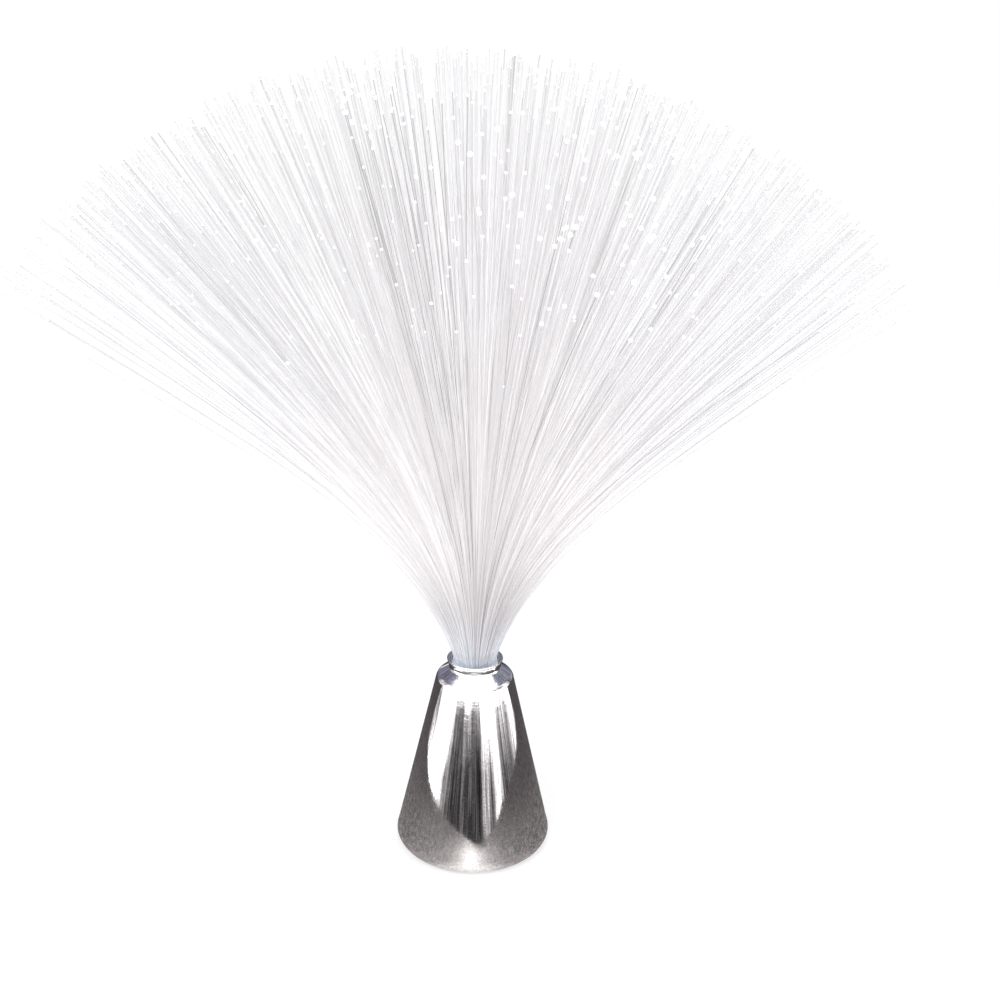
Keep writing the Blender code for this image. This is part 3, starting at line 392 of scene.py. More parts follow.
def shell_profile():
    """The shell's closed outline: down the outside from the lip, and up the inside."""
    slope, rise = math.radians(SLOPE), math.radians(SHOULDER_END)
    foot_centre = (BASE_RADIUS - FOOT_FILLET * math.cos(slope), FOOT + FOOT_FILLET)
    bend_centre = (
        SHOULDER_RADIUS - SHOULDER_BEND * math.cos(slope),
        SHOULDER - SHOULDER_BEND * math.sin(slope),
    )
    shoulder = arc(bend_centre, SHOULDER_BEND, SHOULDER_END, SLOPE, 12)
    neck_turn_radius = NECK_RADIUS + NECK_TURN * (1 - math.cos(rise))
    climb = (shoulder[0][0] - neck_turn_radius) / math.tan(rise)
    turn_centre = (NECK_RADIUS + NECK_TURN, shoulder[0][1] + climb + NECK_TURN * math.sin(rise))
    neck_turn = arc(turn_centre, NECK_TURN, 180.0, 180.0 + SHOULDER_END, 8)
    flare = neck_flare(turn_centre[1], RIM - LIP_HEIGHT)
    rim = arc((LIP_RADIUS - LIP_EDGE, RIM - LIP_EDGE), LIP_EDGE, 90.0, -50.0, 7)
    inner_edge = arc((BORE + LIP_EDGE, RIM - LIP_EDGE), LIP_EDGE, 180.0, 90.0, 5)
    out, down = BASE_RADIUS - SHOULDER_RADIUS, FOOT + FOOT_FILLET - SHOULDER
    side = [
        (SHOULDER_RADIUS + out * i / SIDE_PIECES, SHOULDER + down * i / SIDE_PIECES)
        for i in range(1, SIDE_PIECES)
    ]
    outer = rim + flare + neck_turn[1:] + shoulder + side + arc(foot_centre, FOOT_FILLET, SLOPE, -90.0, 10)
    inner_radius = BASE_RADIUS - WALL / math.cos(slope)
    inner_shoulder = arc(bend_centre, SHOULDER_BEND - WALL, SLOPE, SHOULDER_END, 4)
    collar = BORE + COLLAR_WALL
    root = inner_shoulder[-1][1] + (inner_shoulder[-1][0] - collar) / math.tan(rise)
    inner = [
        (inner_radius, FOOT),
        (inner_radius, FOOT + FOOT_FILLET),
        *inner_shoulder,
        (collar, root),
        (collar, STOP_LEVEL),
        (BORE - COLLAR_WALL, STOP_LEVEL),
        (BORE - COLLAR_WALL, STOP_LEVEL + STOP_HEIGHT),
        (BORE, STOP_LEVEL + STOP_HEIGHT),
    ]
    return outer + inner + inner_edge


def make_shell():
    shell = turned_mesh("chromed_shell", shell_profile(), chrome, steps=192, sharp=50.0)
    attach(shell, "base")
    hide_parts("base_shell")


BOSS_LIFT = 3.9 * MM
BOSS_RADIUS = 2.8 * MM
BOSS_HEIGHT = 15.0 * MM
BOSS_HOLE = 1.3 * MM
BOSS_EDGE = 0.25 * MM
BOSS_RIB = 1.2 * MM
BOSS_ANGLES = (90.0, 210.0, 330.0)


def rib_mesh(start, length, middle):
    """A block of half a boss's height, from a boss outward along X."""
    block = bmesh.new()
    bmesh.ops.create_cube(block, size=1.0)
    size = Matrix.Diagonal((length, BOSS_RIB, BOSS_HEIGHT / 2, 1))
    block.transform(Matrix.Translation((start + length / 2, 0, middle)) @ size)
    mesh = bpy.data.meshes.new("rib")
    block.to_mesh(mesh)
    block.free()
    return mesh


def make_bosses():
    """The three screw bosses inside the shell, each with a rib to the wall."""
    low = FOOT + BOSS_LIFT
    top = low + BOSS_HEIGHT

    def wall_at(level):
        """How far out the middle of the wall is at a level."""
        return BASE_RADIUS - math.tan(math.radians(SLOPE)) * (level - FOOT - FOOT_FILLET) - WALL / 2

    ring = wall_at(top) - BOSS_RADIUS
    rib_start = BOSS_RADIUS * 0.9
    profile = [
        (BOSS_HOLE, low + BOSS_EDGE), (BOSS_HOLE + BOSS_EDGE, low),
        (BOSS_RADIUS - BOSS_EDGE, low), (BOSS_RADIUS, low + BOSS_EDGE),
        (BOSS_RADIUS, top), (BOSS_HOLE, top),
    ]
    bosses = bmesh.new()
    for angle in BOSS_ANGLES:
        tube = turned_mesh("boss", profile, inner_plastic, steps=40, sharp=40.0)
        rib = rib_mesh(rib_start, wall_at(low + BOSS_HEIGHT / 2) - ring - rib_start, low + BOSS_HEIGHT / 4)
        place = Matrix.Rotation(math.radians(angle), 4, "Z") @ Matrix.Translation((ring, 0, 0))
        for mesh in (tube.data, rib):
            mesh.transform(place)
            bosses.from_mesh(mesh)
        bpy.data.objects.remove(tube)
    mesh = bpy.data.meshes.new("shell_bosses")
    bosses.to_mesh(mesh)
    bosses.free()
    mesh.materials.append(inner_plastic)
    mesh.set_sharp_from_angle(angle=math.radians(40.0))
    made = bpy.data.objects.new("shell_bosses", mesh)
    bpy.context.scene.collection.objects.link(made)
    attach(made, "base")
    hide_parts("base_shell")


# Fibre spray

spray_low, spray_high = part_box("fibre_spray")
ROOT_LEVEL = spray_low.z
BUNDLE_RADIUS = 8.2 * MM
STRANDS = 1900
STRAND_RADIUS = 0.17 * MM
STRAND_SIDES = 3
STRAND_STEPS = 15
STEP_CROWDING = 1.35
# How many meshes the strands are shared out over
SPRAYS = 3
# How far an outermost strand leans near its tip, in degrees, how much less it leans at its root, and the
# share of its length over which it bends
FULL_TILT = 56.0
ROOT_BEND = 40.0
BEND_REACH = 0.28
FRONT_LIFT = 0.035
# Lengths in mm
FULL_LENGTH = 230.0
RIM_SHORTENING = 14.0
RAGGED = 5.0
LEFT_GAIN = 5.0
SHORT_SHARE = 0.12
SHORT_BY = (4.0, 26.0)
# Spots in the bundle, as (x, y, radius) in shares of its radius: where strands are duller, paler or cooler
# and where tips are bright
DULL_BUNDLES = ((-0.17, -0.50, 0.10), (-0.55, 0.2, 0.05))
PALE_BUNDLES = (
    (-0.07, -0.27, 0.07), (0.12, -0.30, 0.04), (0.30, -0.20, 0.04), (-0.45, -0.25, 0.05),
    (-0.30, -0.65, 0.06), (0.50, -0.50, 0.06),
)
PALE_SIDES = ((0.9, 0.0, 0.45), (0.75, -0.6, 0.2), (-0.75, -0.4, 0.2))
COOL_STRANDS = ((0.12, -0.45, 0.22),)
SPARKS = (
    (0.23, -0.68, 0.24), (0.42, -0.36, 0.20), (-0.22, -0.44, 0.12), (0.0, -0.63, 0.07),
    (0.12, -0.80, 0.14), (0.08, -0.30, 0.08),
)


def strand_points(root_share, azimuth, length, lean, sway):
    """The centre line of one strand, from its root to its tip."""
    radius = root_share * BUNDLE_RADIUS
    height = ROOT_LEVEL
    fine = 60
    marks = [round(fine * (i / STRAND_STEPS) ** STEP_CROWDING) for i in range(STRAND_STEPS + 1)]
    points = []
    for step in range(fine + 1):
        share = step / fine
        if step in marks:
            a = azimuth + sway * share**1.5
            points.append((radius * math.cos(a), radius * math.sin(a), height))
        here = share + 0.5 / fine
        tilt = lean * (FULL_TILT - ROOT_BEND * math.exp(-here / BEND_REACH))
        radius += math.sin(math.radians(tilt)) * length / fine
        height += math.cos(math.radians(tilt)) * length / fine
    return np.array(points)


class Clumps:
    """A smooth field over the bundle with three values at each place, of about 0.25 either way."""

    def __init__(self, scale, seed, waves=9):
        draw = random.Random(seed)
        turn = (0.0, math.tau)
        self.waves = [
            [(draw.uniform(*turn), scale * draw.uniform(1.5, 4.5), draw.uniform(*turn)) for _ in range(waves)]
            for _ in range(3)
        ]
        self.height = 0.25 / math.sqrt(waves / 2)

    def at(self, x, y):
        return [
            self.height
            * sum(math.sin(rate * (x * math.cos(a) + y * math.sin(a)) + phase) for a, rate, phase in waves)
            for waves in self.waves
        ]


def near(x, y, places):
    """How close a place in the bundle is to the nearest of some (x, y, radius) spots, from 0 to 1."""
    return max(math.exp(-((x - px) ** 2 + (y - py) ** 2) / radius**2) for px, py, radius in places)


def make_strands():
    """Every strand's points, tone, coolness and tip brightness, from the middle of the bundle outward."""
    draw = random.Random(11)
    coarse, small, broad = Clumps(5.0, 3), Clumps(14.0, 9), Clumps(3.4, 21)
    strands = []
    golden = math.pi * (3 - math.sqrt(5))
    for i in range(STRANDS):
        root_share = math.sqrt((i + 0.5) / STRANDS)
        azimuth = golden * i + draw.uniform(-0.05, 0.05)
        x, y = root_share * math.cos(azimuth), root_share * math.sin(azimuth)
        dx, dy, _ = coarse.at(x, y)
        ex, ey, shade = small.at(x, y)
        x += 0.055 * dx + 0.035 * ex
        y += 0.055 * dy + 0.035 * ey
        azimuth = math.atan2(y, x)
        lean = math.hypot(x, y) + draw.uniform(-0.02, 0.02)
        lean = min(1.0, max(0.01, lean)) * (1 - FRONT_LIFT * max(0.0, -math.sin(azimuth)))
        leftward = -math.cos(azimuth) * lean
        length = FULL_LENGTH - RIM_SHORTENING * lean**2 - RAGGED * draw.random() + LEFT_GAIN * leftward
        if draw.random() < SHORT_SHARE:
            length -= draw.uniform(*SHORT_BY)
        sway = draw.gauss(0.0, 0.035)
        tilt = lean * (1 + 0.03 * leftward)
        points = strand_points(min(root_share, 0.97), azimuth, length * MM, tilt, sway)
        tone = 0.5 + 0.35 * broad.at(x, y)[2] + 0.6 * shade + draw.gauss(0.0, 0.12)
        tone += 0.3 * near(x, y, PALE_SIDES)
        tone += 0.55 * near(x, y, PALE_BUNDLES) - 0.70 * near(x, y, DULL_BUNDLES)
        tone += 0.5 * max(0.0, (x - 0.75) / 0.25)
        tone += 0.28 * max(0.0, (lean - 0.65) / 0.35) * max(0.0, 0.6 - x)
        tone = min(1.0, max(0.0, tone))
        strands.append((points, tone, 0.8 * near(x, y, COOL_STRANDS), near(x, y, SPARKS)))
    return strands


def strand_frames(points):
    """The direction of a strand at each of its points, and two directions across it."""
    along = np.gradient(points, axis=0)
    along /= np.linalg.norm(along, axis=1)[:, None]
    side = np.cross(along, np.array([0.31, 0.17, 0.93]))
    side /= np.linalg.norm(side, axis=1)[:, None]
    return along, side, np.cross(along, side)


def uv_cell(index, columns, rows, margin=0.06):
    """The corners of one cell of a grid over the UV square."""
    column, row = index % columns, index // columns
    wide, tall = 1 / columns, 1 / rows
    return (
        (column + margin) * wide, (row + margin) * tall,
        (column + 1 - margin) * wide, (row + 1 - margin) * tall,
    )


# The name of the tubes' own UV map. The UV map that the exporter keeps
UV_NAME = "OFBake"


class TubeMesh:
    """Tubes along centre lines, capped at both ends, each in a UV cell of its own."""

    def __init__(self, sides, columns, rows):
        self.sides, self.columns, self.rows = sides, columns, rows
        self.verts, self.faces, self.uvs, self.count = [], [], [], 0

    def add(self, rings, side, other, turn=0.0):
        """Rings are (centre, radius) pairs. Side and other give the two directions across each one."""
        sides, base = self.sides, len(self.verts)
        for k, (centre, radius) in enumerate(rings):
            for j in range(sides):
                a = turn + math.tau * j / sides
                offset = side[k] * math.cos(a) + other[k] * math.sin(a)
                self.verts.append(tuple(centre + offset * radius))
        u0, v0, u1, v1 = uv_cell(self.count, self.columns, self.rows)
        top_v = v0 + (v1 - v0) * 0.9
        last = len(rings) - 1
        for k in range(last):
            low, high = v0 + (top_v - v0) * k / last, v0 + (top_v - v0) * (k + 1) / last
            for j in range(sides):
                n = (j + 1) % sides
                a, b = base + k * sides, base + (k + 1) * sides
                left, right = u0 + (u1 - u0) * j / sides, u0 + (u1 - u0) * (j + 1) / sides
                self.faces.append((a + j, a + n, b + n, b + j))
                self.uvs += [(left, low), (right, low), (right, high), (left, high)]
        top = [base + last * sides + j for j in range(sides)]
        bottom = [base + j for j in range(sides)][::-1]
        for number, ring in enumerate((top, bottom)):
            self.faces.append(tuple(ring))
            middle = u0 + (u1 - u0) * (0.25 + 0.5 * number)
            reach_u, reach_v = (u1 - u0) * 0.2, (v1 - top_v) * 0.4
            centre_v = (top_v + v1) / 2 + reach_v * 0.1
            for j in range(sides):
                a = math.tau * j / sides
                self.uvs.append((middle + reach_u * math.cos(a), centre_v + reach_v * math.sin(a)))
        self.count += 1

    def build(self, name, material):
        made = add_mesh(name, self.verts, self.faces, material)
        layer = made.data.uv_layers.new(name=UV_NAME)
        layer.data.foreach_set("uv", np.array(self.uvs, np.float32).ravel())
        return made


def make_spray():
    strands = make_strands()
    draw = random.Random(5)
    columns = 40
    rows = math.ceil(STRANDS / SPRAYS / columns)
    for number in range(SPRAYS):
        tubes = TubeMesh(STRAND_SIDES, columns, rows)
        values = {"tone": [], "along": [], "cool": []}
        for points, tone, cool, _ in strands[number::SPRAYS]:
            _, side, other = strand_frames(points)
            tubes.add([(centre, STRAND_RADIUS) for centre in points], side, other, draw.uniform(0, math.tau))
            for k in range(len(points)):
                share = k / STRAND_STEPS
                values["tone"] += [tone] * STRAND_SIDES
                values["along"] += [share] * STRAND_SIDES
                values["cool"] += [cool * max(0.0, 1 - 1.6 * share)] * STRAND_SIDES
        spray = tubes.build(f"lit_fibres_{number + 1}", fibre)
        for name, value in values.items():
            attribute = spray.data.attributes.new(name, "FLOAT", "POINT")
            attribute.data.foreach_set("value", np.array(value, np.float32))
        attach(spray, "spray")
        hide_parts("fibre_spray")
    make_tips(strands)


# A tip's dome, as (height, radius) of its rings in shares of its own radius
TIP_RINGS = ((-0.8, 0.55), (-0.3, 1.0), (0.35, 0.9), (0.8, 0.4))
TIP_SIDES = 6
# Of all strands, how many have a bright tip outside the bright spots, and how bright it is
STRAY_SHARE = 0.02
STRAY = 0.4


def make_tips(strands):
    """A small dome on each strand's end, larger in the bright spots."""
    draw = random.Random(23)
    columns = math.ceil(math.sqrt(STRANDS))
    tubes = TubeMesh(TIP_SIDES, columns, columns)
    for points, _, _, spark in strands:
        stray = STRAY if draw.random() < STRAY_SHARE else 0.0
        radius = (0.20 + 0.16 * draw.random() + max(spark, stray) * (0.24 + 0.28 * draw.random())) * MM
        along, side, other = strand_frames(points)
        rings = [(points[-1] + along[-1] * lift * radius, radius * share) for lift, share in TIP_RINGS]
        tubes.add(rings, [side[-1]] * len(rings), [other[-1]] * len(rings))
    tips = tubes.build("fibre_tips", tip_light)
    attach(tips, "spray")


# Carried-over CAD nodes

FINISHES = {
    "bottom_cap": black,
    "battery_door": black,
    "switch_knob": black,
    "switch_body": grey,
    "fibre_bundle": fibre,
    "spray_ferrule": white,
    "light_cup": white,
    "led": resin,
    "led_board": board,
    "controller_chip": chip,
    "lead_red": red_pvc,
    "lead_white": white_pvc,
}
BEVELLED = (
    "bottom_cap", "battery_door", "switch_body", "switch_knob", "light_cup", "spray_ferrule", "led_board",
)


def finish_of(name):
    """The material of a CAD node, or None where a piece of this script stands for it."""
    low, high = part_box(name)
    if name in FINISHES:
        return FINISHES[name]
    if "screw" in name:
        return steel
    if "contact" in name or "spring" in name or name == "negative_strip":
        return nickel
    if name.startswith("foot_"):
        return rubber
    if name == "battery_1":
        return cell_wrap("cell_wrap_1", low.z, high.z)
    if name.startswith("battery_"):
        return cell_wrap("cell_wrap_" + name[-1], high.z, low.z)
    if name == "resistor":
        return banded_resistor(low.x, high.x)
    return None


def finish_nodes():
    for name, obj in nodes.items():
        material = finish_of(name)
        if material:
            obj.data.materials.clear()
            obj.data.materials.append(material)
    for name in BEVELLED:
        bevel = nodes[name].modifiers.new("edge", "BEVEL")
        bevel.width = 0.12 * MM
        bevel.segments = 2
        bevel.limit_method = "ANGLE"
        bevel.angle_limit = math.radians(50.0)
        bevel.harden_normals = True


# Floor, cards that the chrome reflects, world, lamps and camera


def make_floor():
    """A white floor that keeps the lamp's shadow. Far off, where the lamps' light fades, it makes up for that.

    It has one side only, so a view from below shows the lamp's underside.
    """
    s = Surface("pale_floor", Roughness=0.9)
    s.set(s.shader, "Emission Color", WHITE)
    s.set(s.shader, "Specular IOR Level", 0.0)
    geometry = s.node("NewGeometry")
    away = s.node("VectorMath", {"Vector": geometry.outputs["Position"]}, operation="LENGTH").outputs["Value"]
    share = s.span(away, 0.3, 3.0)
    s.set(s.shader, "Base Color", s.ramp(share, (0.0, 0.50), (1.0, 0.02)))
    camera_ray = s.node("LightPath").outputs["Is Camera Ray"]
    own = s.ramp(share, (0.0, 0.58), (0.3, 0.85), (1.0, 1.0))
    s.set(s.shader, "Emission Strength", s.math("MULTIPLY", camera_ray, own))
    clear = s.node("BsdfTransparent").outputs["BSDF"]
    sides = {0: geometry.outputs["Backfacing"], 1: s.shader.outputs["BSDF"], 2: clear}
    s.show(s.node("MixShader", sides).outputs["Shader"])
    size = 12.0
    corners = [(-size, -size, 0), (size, -size, 0), (size, size, 0), (-size, size, 0)]
    floor = add_mesh("floor", corners, [(0, 1, 2, 3)], s.material, False)
    floor.visible_glossy = False
    floor.visible_diffuse = False


def glow_surface(name):
    """A material with no Principled shader, for a card that only gives light."""
    s = Surface(name)
    s.tree.nodes.remove(s.shader)
    return s


def only_reflected(card):
    """A card that nothing but the chrome sees."""
    for ray in ("camera", "diffuse", "transmission", "shadow", "volume_scatter"):
        setattr(card, "visible_" + ray, False)


# The reflected table's front edge, seen in the cone as the lower bound of the bright room, in mm
TABLE_EDGE = (
    (-900, 120), (-325, 91), (-220, 87), (-178, 63), (-175, 21), (-164, -30), (-143, -85), (-106, -118),
    (-71, -132), (-31, -133), (-7, -123), (14, -110), (35, -119), (75, -128), (144, -134), (190, -82),
    (210, -14), (216, 41), (231, 84), (337, 84), (900, 120),
)
TABLE_LEVEL = -0.5 * MM
TABLE_REACH = 0.9


def make_table():
    """A grainy table top that only the chrome sees, as a glowing card. Its glow is painted light: dim away from the
    lamp, with a painted pool of light and a painted bright ring by the lamp's foot, and painted shade where its
    front edge dips.
    """
    s = glow_surface("reflected_table")
    position = s.node("NewGeometry").outputs["Position"]

    def away(x, y, long=1.0):
        """Distance in metres from a place in mm. A spot can be stretched along Y."""
        stretched = s.node("Mapping", {"Vector": position, "Scale": (1.0, 1 / long, 1.0)}).outputs["Vector"]
        places = {0: stretched, 1: (x * MM, y * MM / long, 0.0)}
        return s.node("VectorMath", places, operation="DISTANCE").outputs["Value"]

    # Painted light: the card is brighter near the lamp's foot and dims with distance from it
    far = s.ramp(
        away(-10, -80),
        (0.04, (0.33, 0.31, 0.30)),
        (0.075, (0.27, 0.25, 0.245)),
        (0.10, (0.215, 0.20, 0.197)),
        (0.13, (0.17, 0.157, 0.155)),
        (0.16, (0.125, 0.114, 0.114)),
        (0.25, (0.10, 0.09, 0.095)),
        (0.45, (0.10, 0.09, 0.10)),
    )
    fine = s.ramp(s.noise(900.0, 2.0, 0.8, place=position), (0.36, 0.5), (0.64, 1.5))
    broad = s.ramp(s.noise(150.0, 3.0, 0.8, place=position), (0.38, 0.7), (0.62, 1.3))
    # A painted pool of light in front of the lamp's foot
    pool = s.ramp(
        away(-3, -80, 1.8),
        (0.0, (1.5, 1.46, 1.42)),
        (0.010, (1.0, 0.97, 0.94)),
        (0.020, (0.55, 0.53, 0.51)),
        (0.033, (0.19, 0.18, 0.175)),
        (0.06, 0.0),
    )
    # A painted bright ring of light close to the lamp's foot
    painted_light_ring = s.ramp(away(0, -42), (0.0, 0.45), (0.014, 0.3), (0.026, 0.0))
    # Painted shade: a dark spot where the front edge dips, in front of the lamp
    painted_notch_shade = s.ramp(away(20, -120), (0.0, 0.25), (0.012, 0.45), (0.026, 1.0))
    # The table's grain times the painted light falloff
    shade = s.times(far, s.times(fine, broad))
    lit = s.times(s.plus(s.plus(shade, pool), painted_light_ring), painted_notch_shade)
    s.show(s.node("Emission", {"Color": lit, "Strength": 1.0}).outputs["Emission"])
    verts = [(x * MM, y * MM, TABLE_LEVEL) for x, y in TABLE_EDGE]
    verts += [(TABLE_REACH, TABLE_REACH, TABLE_LEVEL), (-TABLE_REACH, TABLE_REACH, TABLE_LEVEL)]
    only_reflected(add_mesh("reflected_table", verts, [tuple(range(len(verts)))], s.material, False))


GLOW_INNER = 10.0 * MM
GLOW_OUTER = 23.0 * MM
GLOW_LIFT = 5.0 * MM
GLOW_STEPS = 24


def make_neck_glow():
    """The fibre root's glare on the front of the shoulder: half a ring just above it, with ragged ends."""
    s = glow_surface("neck_glow")
    position = s.node("NewGeometry").outputs["Position"]
    split = s.node("SeparateXYZ", {"Vector": position}).outputs
    angle = s.math("ABSOLUTE", s.math("ARCTAN2", split["X"], s.math("MULTIPLY", split["Y"], -1.0)))
    reach = s.math("ADD", angle, s.math("MULTIPLY", s.noise(420.0, 3.0, 0.7, place=position), 0.9))
    cover = s.ramp(s.math("DIVIDE", reach, math.pi), (0.42, 1.0), (0.50, 0.0))
    glow = s.node("Emission", {"Color": (0.97, 0.98, 1.0), "Strength": 3.0}).outputs["Emission"]
    clear = s.node("BsdfTransparent").outputs["BSDF"]
    s.show(s.node("MixShader", {0: cover, 1: clear, 2: glow}).outputs["Shader"])
    verts, faces = [], []
    for i in range(GLOW_STEPS + 1):
        a = math.radians(-180.0 + 180.0 * i / GLOW_STEPS)
        verts += [(r * math.cos(a), r * math.sin(a), RIM + GLOW_LIFT) for r in (GLOW_INNER, GLOW_OUTER)]
    for i in range(GLOW_STEPS):
        faces.append((2 * i, 2 * i + 1, 2 * i + 3, 2 * i + 2))
    only_reflected(add_mesh("neck_glow", verts, faces, s.material, False))


# The room in the cone, as brightness by the turn about the lamp (0.5 is in front): high up and low down
HIGH_STREAKS = (
    (0.0, 0.25), (0.05, 0.9), (0.08, 0.15), (0.14, 0.15), (0.17, 0.8), (0.24, 0.8), (0.26, 2.8), (0.35, 2.2),
    (0.375, 0.22), (0.42, 0.22), (0.44, 0.6), (0.48, 0.5), (0.50, 0.25), (0.535, 0.25), (0.55, 2.8),
    (0.63, 2.4), (0.66, 0.6), (0.70, 0.8), (0.72, 0.3), (0.74, 0.6), (0.77, 2.0), (0.81, 0.8), (0.84, 0.1),
    (0.90, 0.8), (0.94, 0.2),
)
LOW_STREAKS = (
    (0.0, 0.15), (0.05, 0.4), (0.08, 0.1), (0.16, 0.1), (0.20, 1.5), (0.24, 2.6), (0.325, 2.4), (0.34, 0.5),
    (0.36, 0.25), (0.38, 0.12), (0.41, 0.05), (0.425, 0.05), (0.445, 0.12), (0.48, 0.09), (0.50, 0.06),
    (0.54, 0.05), (0.555, 0.55), (0.575, 0.5), (0.585, 0.12), (0.60, 0.2), (0.615, 2.4), (0.635, 1.8),
    (0.65, 0.25), (0.68, 0.08), (0.705, 0.35), (0.73, 0.15), (0.75, 0.15), (0.77, 1.6), (0.80, 0.1),
    (0.90, 0.25),
)
# How far down the glare reaches, by turn
BURST_REACH = (
    (0.0, 0.0), (0.23, 0.1), (0.26, 0.9), (0.34, 0.8), (0.37, 0.02), (0.42, 0.02), (0.44, 0.15), (0.48, 0.12),
    (0.50, 0.0), (0.535, 0.0), (0.55, 0.4), (0.62, 0.35), (0.65, 0.05), (0.72, 0.0), (0.76, 0.1),
    (0.80, 0.0), (1.0, 0.0),
)
GLARE = (3.0, 3.0, 3.0)
BRIGHT = (2.6, 2.6, 2.6)
DIM_LEFT = (0.23, 0.23, 0.31)
DIM_RIGHT = (0.27, 0.28, 0.35)
BELOW = (1.1, 1.1, 1.12)
PLAIN_LIGHT = (0.62, 0.63, 0.65)
# The cone's slope bends a level line of the room by this much at the sides
SLOPE_BEND = 0.46


class Room(Nodes):
    """The room that the chrome reflects, by the turn about the lamp and the height of a direction."""

    def __init__(self, tree):
        super().__init__(tree)
        split = self.node("SeparateXYZ", {"Vector": self.node("TexCoord").outputs["Generated"]}).outputs
        self.height = split["Z"]
        azimuth = self.math("ARCTAN2", split["X"], self.math("MULTIPLY", split["Y"], -1.0))
        self.turn = self.math("ADD", self.math("DIVIDE", azimuth, math.tau), 0.5)
        half_turn = self.math("COSINE", self.math("MULTIPLY", azimuth, 0.5))
        bend = self.math("MULTIPLY", self.math("SUBTRACT", 1.0, half_turn), SLOPE_BEND)
        # What is level along a row of the cone, and not in the room
        self.row = self.math("ADD", self.height, bend)
        self.wobble = self.math("SUBTRACT", self.grain(40.0, 14.0), 0.5)

    def grain(self, across, down, detail=2.0):
        x, y = self.math("MULTIPLY", self.turn, across), self.math("MULTIPLY", self.height, down)
        place = self.node("CombineXYZ", {"X": x, "Y": y}).outputs["Vector"]
        return self.noise(1.0, detail, 0.6, place=place)

    def streaks(self):
        """Bright and dark streaks, which change from the high ones to the low ones at a ragged level."""
        level = self.span(self.row, -0.046, -0.098)
        level = self.math("ADD", level, self.math("MULTIPLY", self.wobble, 0.5))
        broad = self.mix(level, self.ramp(self.turn, *HIGH_STREAKS), self.ramp(self.turn, *LOW_STREAKS))
        lines = self.ramp(
            self.grain(170.0, 12.0, 5.0),
            (0.38, (0.26, 0.25, 0.25)),
            (0.50, (0.80, 0.77, 0.76)),
            (0.64, (2.5, 2.4, 2.4)),
        )
        blotches = self.ramp(self.grain(70.0, 30.0, 1.0), (0.36, 0.65), (0.64, 1.45))
        return self.times(self.times(broad, lines), blotches)

    def glare(self):
        """Where the room is as bright as the glare on the shoulder, which runs down in front."""
        reach = self.math("MULTIPLY", self.ramp(self.turn, *BURST_REACH), -0.08)
        ragged = self.math("ADD", self.row, self.math("MULTIPLY", self.wobble, 0.02))
        burst = self.span(self.math("SUBTRACT", ragged, reach), -0.036, -0.028)
        low_sky = self.span(self.height, 0.16, 0.10)
        in_front = self.ramp(self.turn, (0.34, 0.0), (0.38, 1.0), (0.56, 1.0), (0.60, 0.0))
        sides = self.ramp(self.turn, (0.22, 0.0), (0.25, 1.0), (0.77, 1.0), (0.82, 0.0))
        shown = self.math("MAXIMUM", low_sky, in_front)
        return self.math("MULTIPLY", self.math("MULTIPLY", burst, sides), shown)

    def high_room(self):
        """The upper room: bright in front and dim at the sides and back, which are seen in the shoulder."""
        soft = self.math("ADD", self.turn, self.math("MULTIPLY", self.wobble, 0.10))
        high = self.ramp(
            soft,
            (0.0, DIM_LEFT), (0.22, DIM_LEFT),
            (0.36, BRIGHT), (0.64, BRIGHT),
            (0.78, DIM_RIGHT), (1.0, DIM_RIGHT),
        )
        return self.times(high, self.ramp(self.grain(60.0, 16.0, 4.0), (0.36, 0.5), (0.64, 1.6)))

    def whole(self):
        room = self.mix(self.glare(), self.streaks(), GLARE)
        behind = self.ramp(self.turn, (0.11, 1.0), (0.16, 0.0), (0.84, 0.0), (0.89, 1.0))
        level_up = self.span(self.height, 0.0, 0.05)
        ceiling = self.span(self.height, 0.35, 0.60)
        above = self.math("MAXIMUM", self.math("MULTIPLY", behind, level_up), ceiling)
        below = self.span(self.row, -0.20, -0.24)
        return self.mix(below, self.mix(above, room, self.high_room()), BELOW)


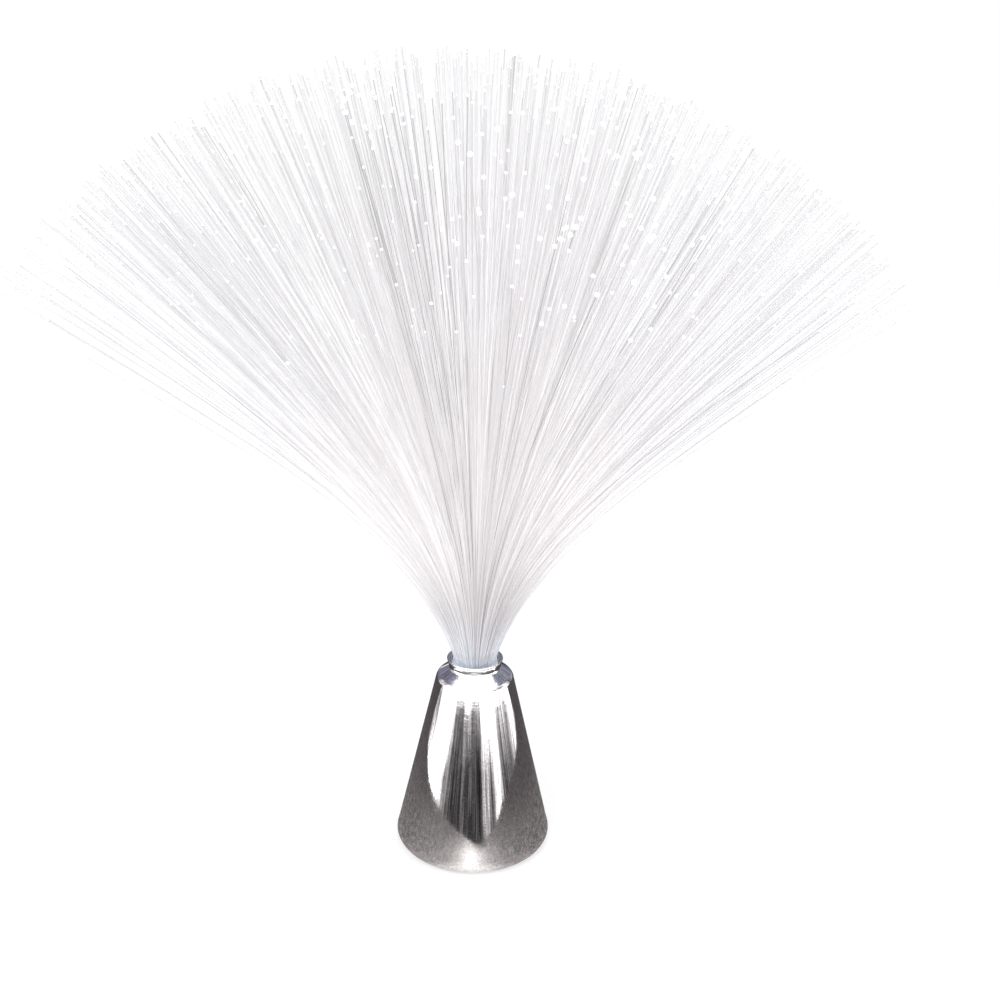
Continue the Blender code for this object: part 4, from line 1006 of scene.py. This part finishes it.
def make_world():
    """White to the camera, the room to glossy rays and plain soft light to the rest."""
    world = bpy.data.worlds.new("studio")
    bpy.context.scene.world = world
    world.use_nodes = True
    world.node_tree.nodes.clear()
    s = Room(world.node_tree)
    ray = s.node("LightPath").outputs
    seen = s.mix(ray["Is Glossy Ray"], PLAIN_LIGHT, s.whole())
    shown = s.mix(ray["Is Camera Ray"], seen, WHITE)
    background = s.node("Background", {"Color": shown, "Strength": 1.0}).outputs["Background"]
    s.set(s.node("OutputWorld"), "Surface", background)


def area_lamp(name, place, target, size, power, colour=WHITE):
    light = bpy.data.lights.new(name, "AREA")
    light.shape = "SQUARE"
    light.size = size
    light.energy = power
    light.color = colour
    made = bpy.data.objects.new(name, light)
    made.location = place
    made.rotation_euler = (Vector(target) - Vector(place)).to_track_quat("-Z", "Y").to_euler()
    made.visible_glossy = False
    bpy.context.scene.collection.objects.link(made)


CAMERA_LENS = 37.8
CAMERA_PLACE = (0.0, -0.3873, 0.2697)
# In degrees: to the right, down, and about the line of sight
CAMERA_YAW, CAMERA_PITCH, CAMERA_ROLL = -1.3, -17.44, 1.18


def make_camera():
    camera = bpy.data.cameras.new("camera")
    camera.lens = CAMERA_LENS
    camera.sensor_width = 36.0
    camera.clip_start = 0.01
    made = bpy.data.objects.new("camera", camera)
    yaw, pitch, roll = (math.radians(a) for a in (CAMERA_YAW, CAMERA_PITCH, CAMERA_ROLL))
    made.rotation_mode = "QUATERNION"
    level = Matrix.Rotation(yaw, 3, "Z") @ Matrix.Rotation(math.pi / 2 + pitch, 3, "X")
    made.rotation_quaternion = (level @ Matrix.Rotation(roll, 3, "Z")).to_quaternion()
    made.location = CAMERA_PLACE
    bpy.context.scene.collection.objects.link(made)
    bpy.context.scene.camera = made


finish_nodes()
make_shell()
make_bosses()
make_spray()
make_floor()
make_table()
make_neck_glow()
make_world()
area_lamp("key", (-0.9, -1.0, 1.3), (0.0, 0.0, 0.15), 0.9, 9.0)
area_lamp("fill", (1.2, -0.6, 0.9), (0.0, 0.0, 0.15), 1.0, 5.0, (0.96, 0.98, 1.0))
area_lamp("back", (0.2, 1.3, 1.2), (0.0, 0.0, 0.18), 1.0, 6.0)
make_camera()
bpy.context.scene.view_settings.view_transform = "Standard"
